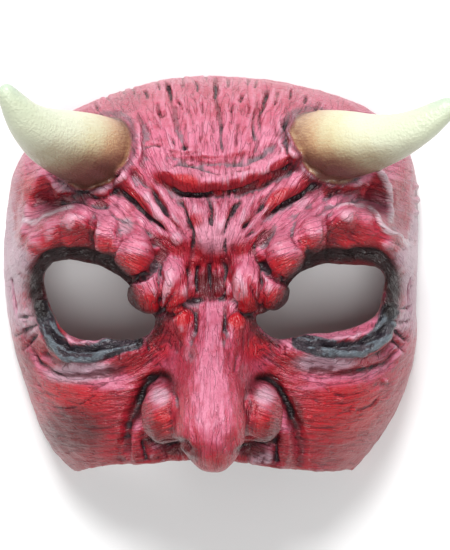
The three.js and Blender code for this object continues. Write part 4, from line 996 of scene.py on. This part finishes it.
# %% The coats on the skin
COATS = [
    # name, colour, weight on the mesh, noise, how much of it, cut off from and to, greatest cover
    ("crimson blots", "8E1526", "outside", blots, 1.2, 1.36, 1.85, 0.55),
    # Pink on the side facing the forehead light, palest in patches: pink dry brush with painted light and
    # highlight
    ("pink on the lit side", "C96887", "lit_side_pink", streaks, 0.5, 0.3, 1.35, 0.88),
    ("pale pink", "D898AF", "lit_side_pink", patches, 0.8, 1.0, 1.75, 0.42),
    ("crimson glaze", "A5243B", "outside", blots, 1.4, 1.62, 2.05, 0.6),
    ("crimson hatch", "92203A", "outside", streaks, 1.0, 1.42, 1.85, 0.5),
    # Darker red on the sides turned away from the light: painted shade
    ("red shade", "9A1420", "shade", streaks, 0.4, 0.36, 1.3, 0.88),
    # Saturated red on the undersides: red paint together with painted shade
    ("red_and_shade", "B21622", "red_and_shade", streaks, 0.4, 0.25, 1.0, 0.94),
    ("mist", "BC9DAC", "mist", streaks, 0.8, 0.4, 1.35, 0.85),
    # Fine dry brush, stronger where the light falls: partly painted light
    ("fine dry brush", "D98CA6", "fine_crest", streaks, 0.8, 0.7, 1.7, 0.46),
    # Dark red in the pits and round the black: dark paint together with painted shade
    ("deep red", "4E0C10", "deep", streaks, 0.4, 0.35, 1.2, 0.9),
    # Pale pink on the middle of the brow: painted light
    ("brow painted light", "E59CB4", "middle", streaks, 0.7, 0.5, 1.4, 0.8),
    ("fine wash", "661A2B", "fine_wash", grain, 0.4, 0.35, 1.25, 0.66),
    ("hairlines", "3E1722", "hairlines", threads, 1.0, 0.9, 2.0, 0.36),
    ("lavender dry brush", "D2BCCB", "crest", streaks, 1.0, 0.8, 1.8, 0.42),
    ("deep red hollow", "60121A", "hollow", blots, 0.3, 0.5, 1.3, 0.68),
    # Grey on the lit banks: grey paint together with painted highlight
    ("grey bank", "8E8E99", "lit_bank", grain, 0.6, 0.7, 1.5, 0.5),
    # Pale edges on ridges: pale paint together with painted highlight
    ("white edge highlight", "DDD0D8", "white_edge_highlight", streaks, 1.2, 0.9, 1.9, 0.75),
    ("collar grime", "45323A", "grime", streaks, 0.9, 0.85, 1.6, 0.7),
    ("lid slate", "262C32", "slate", streaks, 0.5, 0.5, 1.1, 0.95),
    ("lid light", "76848D", "slate_light", streaks, 1.0, 1.0, 1.8, 0.7),
    ("dark wash", "221720", "wash", grain, 0.35, 0.4, 1.15, 0.9),
    # Black paint, with painted shadow under the brow, the knobs, the wings and the nose tip
    ("black_and_shadow", "1A1212", "black_and_shadow", grain, 0.5, 0.45, 1.35, 0.95),
]
PIGMENT = "B22A3F"
colour = add("RGB")
colour.default_value = linear(PIGMENT)
for name, code, weight, noise, rough, low, high, cover in COATS:
    total = add("Math", [(0, noise), (1, rough), (2, weight_of[weight])], operation="MULTIPLY_ADD")
    edge = add("MapRange", [("Value", total), ("From Min", low), ("From Max", high), ("To Max", cover)],
               interpolation_type="SMOOTHSTEP")
    colour = add("Mix", [("Factor", edge), (MIX_A, colour), (MIX_B, linear(code))],
                 output=MIX_RESULT, data_type="RGBA", label=name)
print("coats on the skin:", [coat[0] for coat in COATS])

# %% [markdown]
# The horn is stained from the root: dark brown for the first 12 mm of its middle line, tan at 28 mm,
# ivory from 37 mm on, and a breath of grey-green at the tip. The stain is brushed along the horn in short
# hairs, so the distance from the root is shaken with a noise that is stretched along it. The side that
# faces down the face, towards the mouth, is darker brown towards the root.

# %% The horns
HORN_LENGTH, HAIR_SHAKE = 82.0, 13.0
HORN_UNDERSIDE_BROWN = "654236"
STAIN = [(0.0, "43292A"), (0.15, "5E3E35"), (0.23, "84583F"), (0.34, "BF9C73"), (0.45, "CFC79F"),
         (0.6, "D6D9BE"), (0.85, "CDD6BA"), (1.0, "B7C8B3")]
hairs = add("Mapping", [("Vector", way_of["horn_grain"]), ("Scale", (0.4, 1.9, 1))])
hair = add("TexNoise", [("Vector", hairs), ("Scale", 1.0), ("Detail", 3)])
from_root = add("SeparateXYZ", [(0, way_of["horn_grain"])])
shaken = add("Math", [(0, hair), (1, HAIR_SHAKE), (2, from_root)], operation="MULTIPLY_ADD")
along = add("MapRange", [("Value", shaken), ("From Min", HAIR_SHAKE / 2),
                         ("From Max", HORN_LENGTH + HAIR_SHAKE / 2)])
ramp = add("ValToRGB", [("Fac", along)])
stops = ramp.node.color_ramp.elements
while len(stops) < len(STAIN):
    stops.new(0.5)
for stop, (where, code) in zip(stops, STAIN):
    stop.position, stop.color = where, linear(code)
near_root = add("MapRange", [("Value", along), ("From Min", 0.7), ("From Max", 0.3)])
below = add("Math", [(0, weight_of["under"]), (1, near_root)], operation="MULTIPLY")
horn_colour = add("Mix", [("Factor", below), (MIX_A, ramp), (MIX_B, linear(HORN_UNDERSIDE_BROWN))],
                  output=MIX_RESULT, data_type="RGBA")

# %% [markdown]
# The inside is bare latex, the plain red of the pigment. The last nodes choose between inside, skin and
# horn, and set the gloss: satin, a little drier where the sponge left more paint.

# %% Shader
BARE_LATEX = "8E2733"
GLOSS = (0.24, 0.42)
THREAD_RELIEF, GRAIN_RELIEF = -0.5, 0.6
RELIEF, RELIEF_SHARE = 0.6 * MM, 0.9
LATEX_IOR = 1.52
on_horn = weight_of["horn"]
colour = add("Mix", [("Factor", on_horn), (MIX_A, colour), (MIX_B, horn_colour)],
             output=MIX_RESULT, data_type="RGBA")
colour = add("Mix", [("Factor", weight_of["outside"]), (MIX_A, linear(BARE_LATEX)), (MIX_B, colour)],
             output=MIX_RESULT, data_type="RGBA")
rough = add("MapRange", [("Value", blots), ("To Min", GLOSS[0]), ("To Max", GLOSS[1])])
brushed = add("Mix", [("Factor", on_horn), (2, streaks), (3, 0.5)])
cracked = add("Math", [(0, threads), (1, THREAD_RELIEF), (2, brushed)], operation="MULTIPLY_ADD")
cracked = add("Mix", [("Factor", on_horn), (2, cracked), (3, 0.5)])
relief = add("Math", [(0, grain), (1, GRAIN_RELIEF), (2, cracked)], operation="MULTIPLY_ADD")
bump = add("Bump", [("Height", relief), ("Strength", RELIEF_SHARE), ("Distance", RELIEF)])
shader = add("BsdfPrincipled", [("Base Color", colour), ("Roughness", rough), ("Normal", bump),
                                ("IOR", LATEX_IOR)])
add("OutputMaterial", [("Surface", shader)])
mask.data.materials.append(latex)
print("nodes in the latex:", len(tree.nodes))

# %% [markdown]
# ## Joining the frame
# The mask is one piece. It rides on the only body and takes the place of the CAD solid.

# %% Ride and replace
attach(mask, "root")
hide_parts("demon_mask")

# %% [markdown]
# ## Floor and light
# The photograph is a plain product shot, so the mask lies on a pale floor. One large soft light stands
# beyond the forehead, which makes brows and folds throw their shade towards the mouth, and a second,
# weaker one hangs beside the camera. The pale world fills the rest.

# %% Floor, lights and world
FLOOR_SIZE = 6.0
PAPER, PAPER_ROUGHNESS = "F4F4F4", 0.9
ROOM, ROOM_LIGHT = "FFFFFF", 0.31
bpy.ops.object.select_all(action="DESELECT")
bpy.ops.mesh.primitive_plane_add(size=FLOOR_SIZE)
floor = bpy.context.object
floor.name = "floor"
# Matte paper scatters the light, so the floor shows no highlight and only soft shade
paper = bpy.data.materials.new("paper_matte_white")
paper.use_nodes = True
paper_shader = paper.node_tree.nodes["Principled BSDF"]
paper_shader.inputs["Base Color"].default_value = linear(PAPER)
paper_shader.inputs["Roughness"].default_value = PAPER_ROUGHNESS
floor.data.materials.append(paper)

LIGHTS = [("forehead softbox", (-0.2, 1.5, 1.9), 0.8, 58.0),
          ("camera softbox", (0.1, -0.5, 2.4), 0.9, 26.0)]
AIM = Vector((0, 0, 0.05))
for name, where, size, watts in LIGHTS:
    lamp = bpy.data.lights.new(name, "AREA")
    lamp.energy, lamp.size = watts, size
    stand = bpy.data.objects.new(name, lamp)
    stand.location = where
    stand.rotation_euler = (AIM - Vector(where)).to_track_quat("-Z", "Y").to_euler()
    bpy.context.scene.collection.objects.link(stand)
world = bpy.data.worlds.new("pale room")
bpy.context.scene.world = world
world.use_nodes = True
world.node_tree.nodes["Background"].inputs["Color"].default_value = linear(ROOM)
world.node_tree.nodes["Background"].inputs["Strength"].default_value = ROOM_LIGHT
bpy.context.scene.view_settings.view_transform = "Standard"
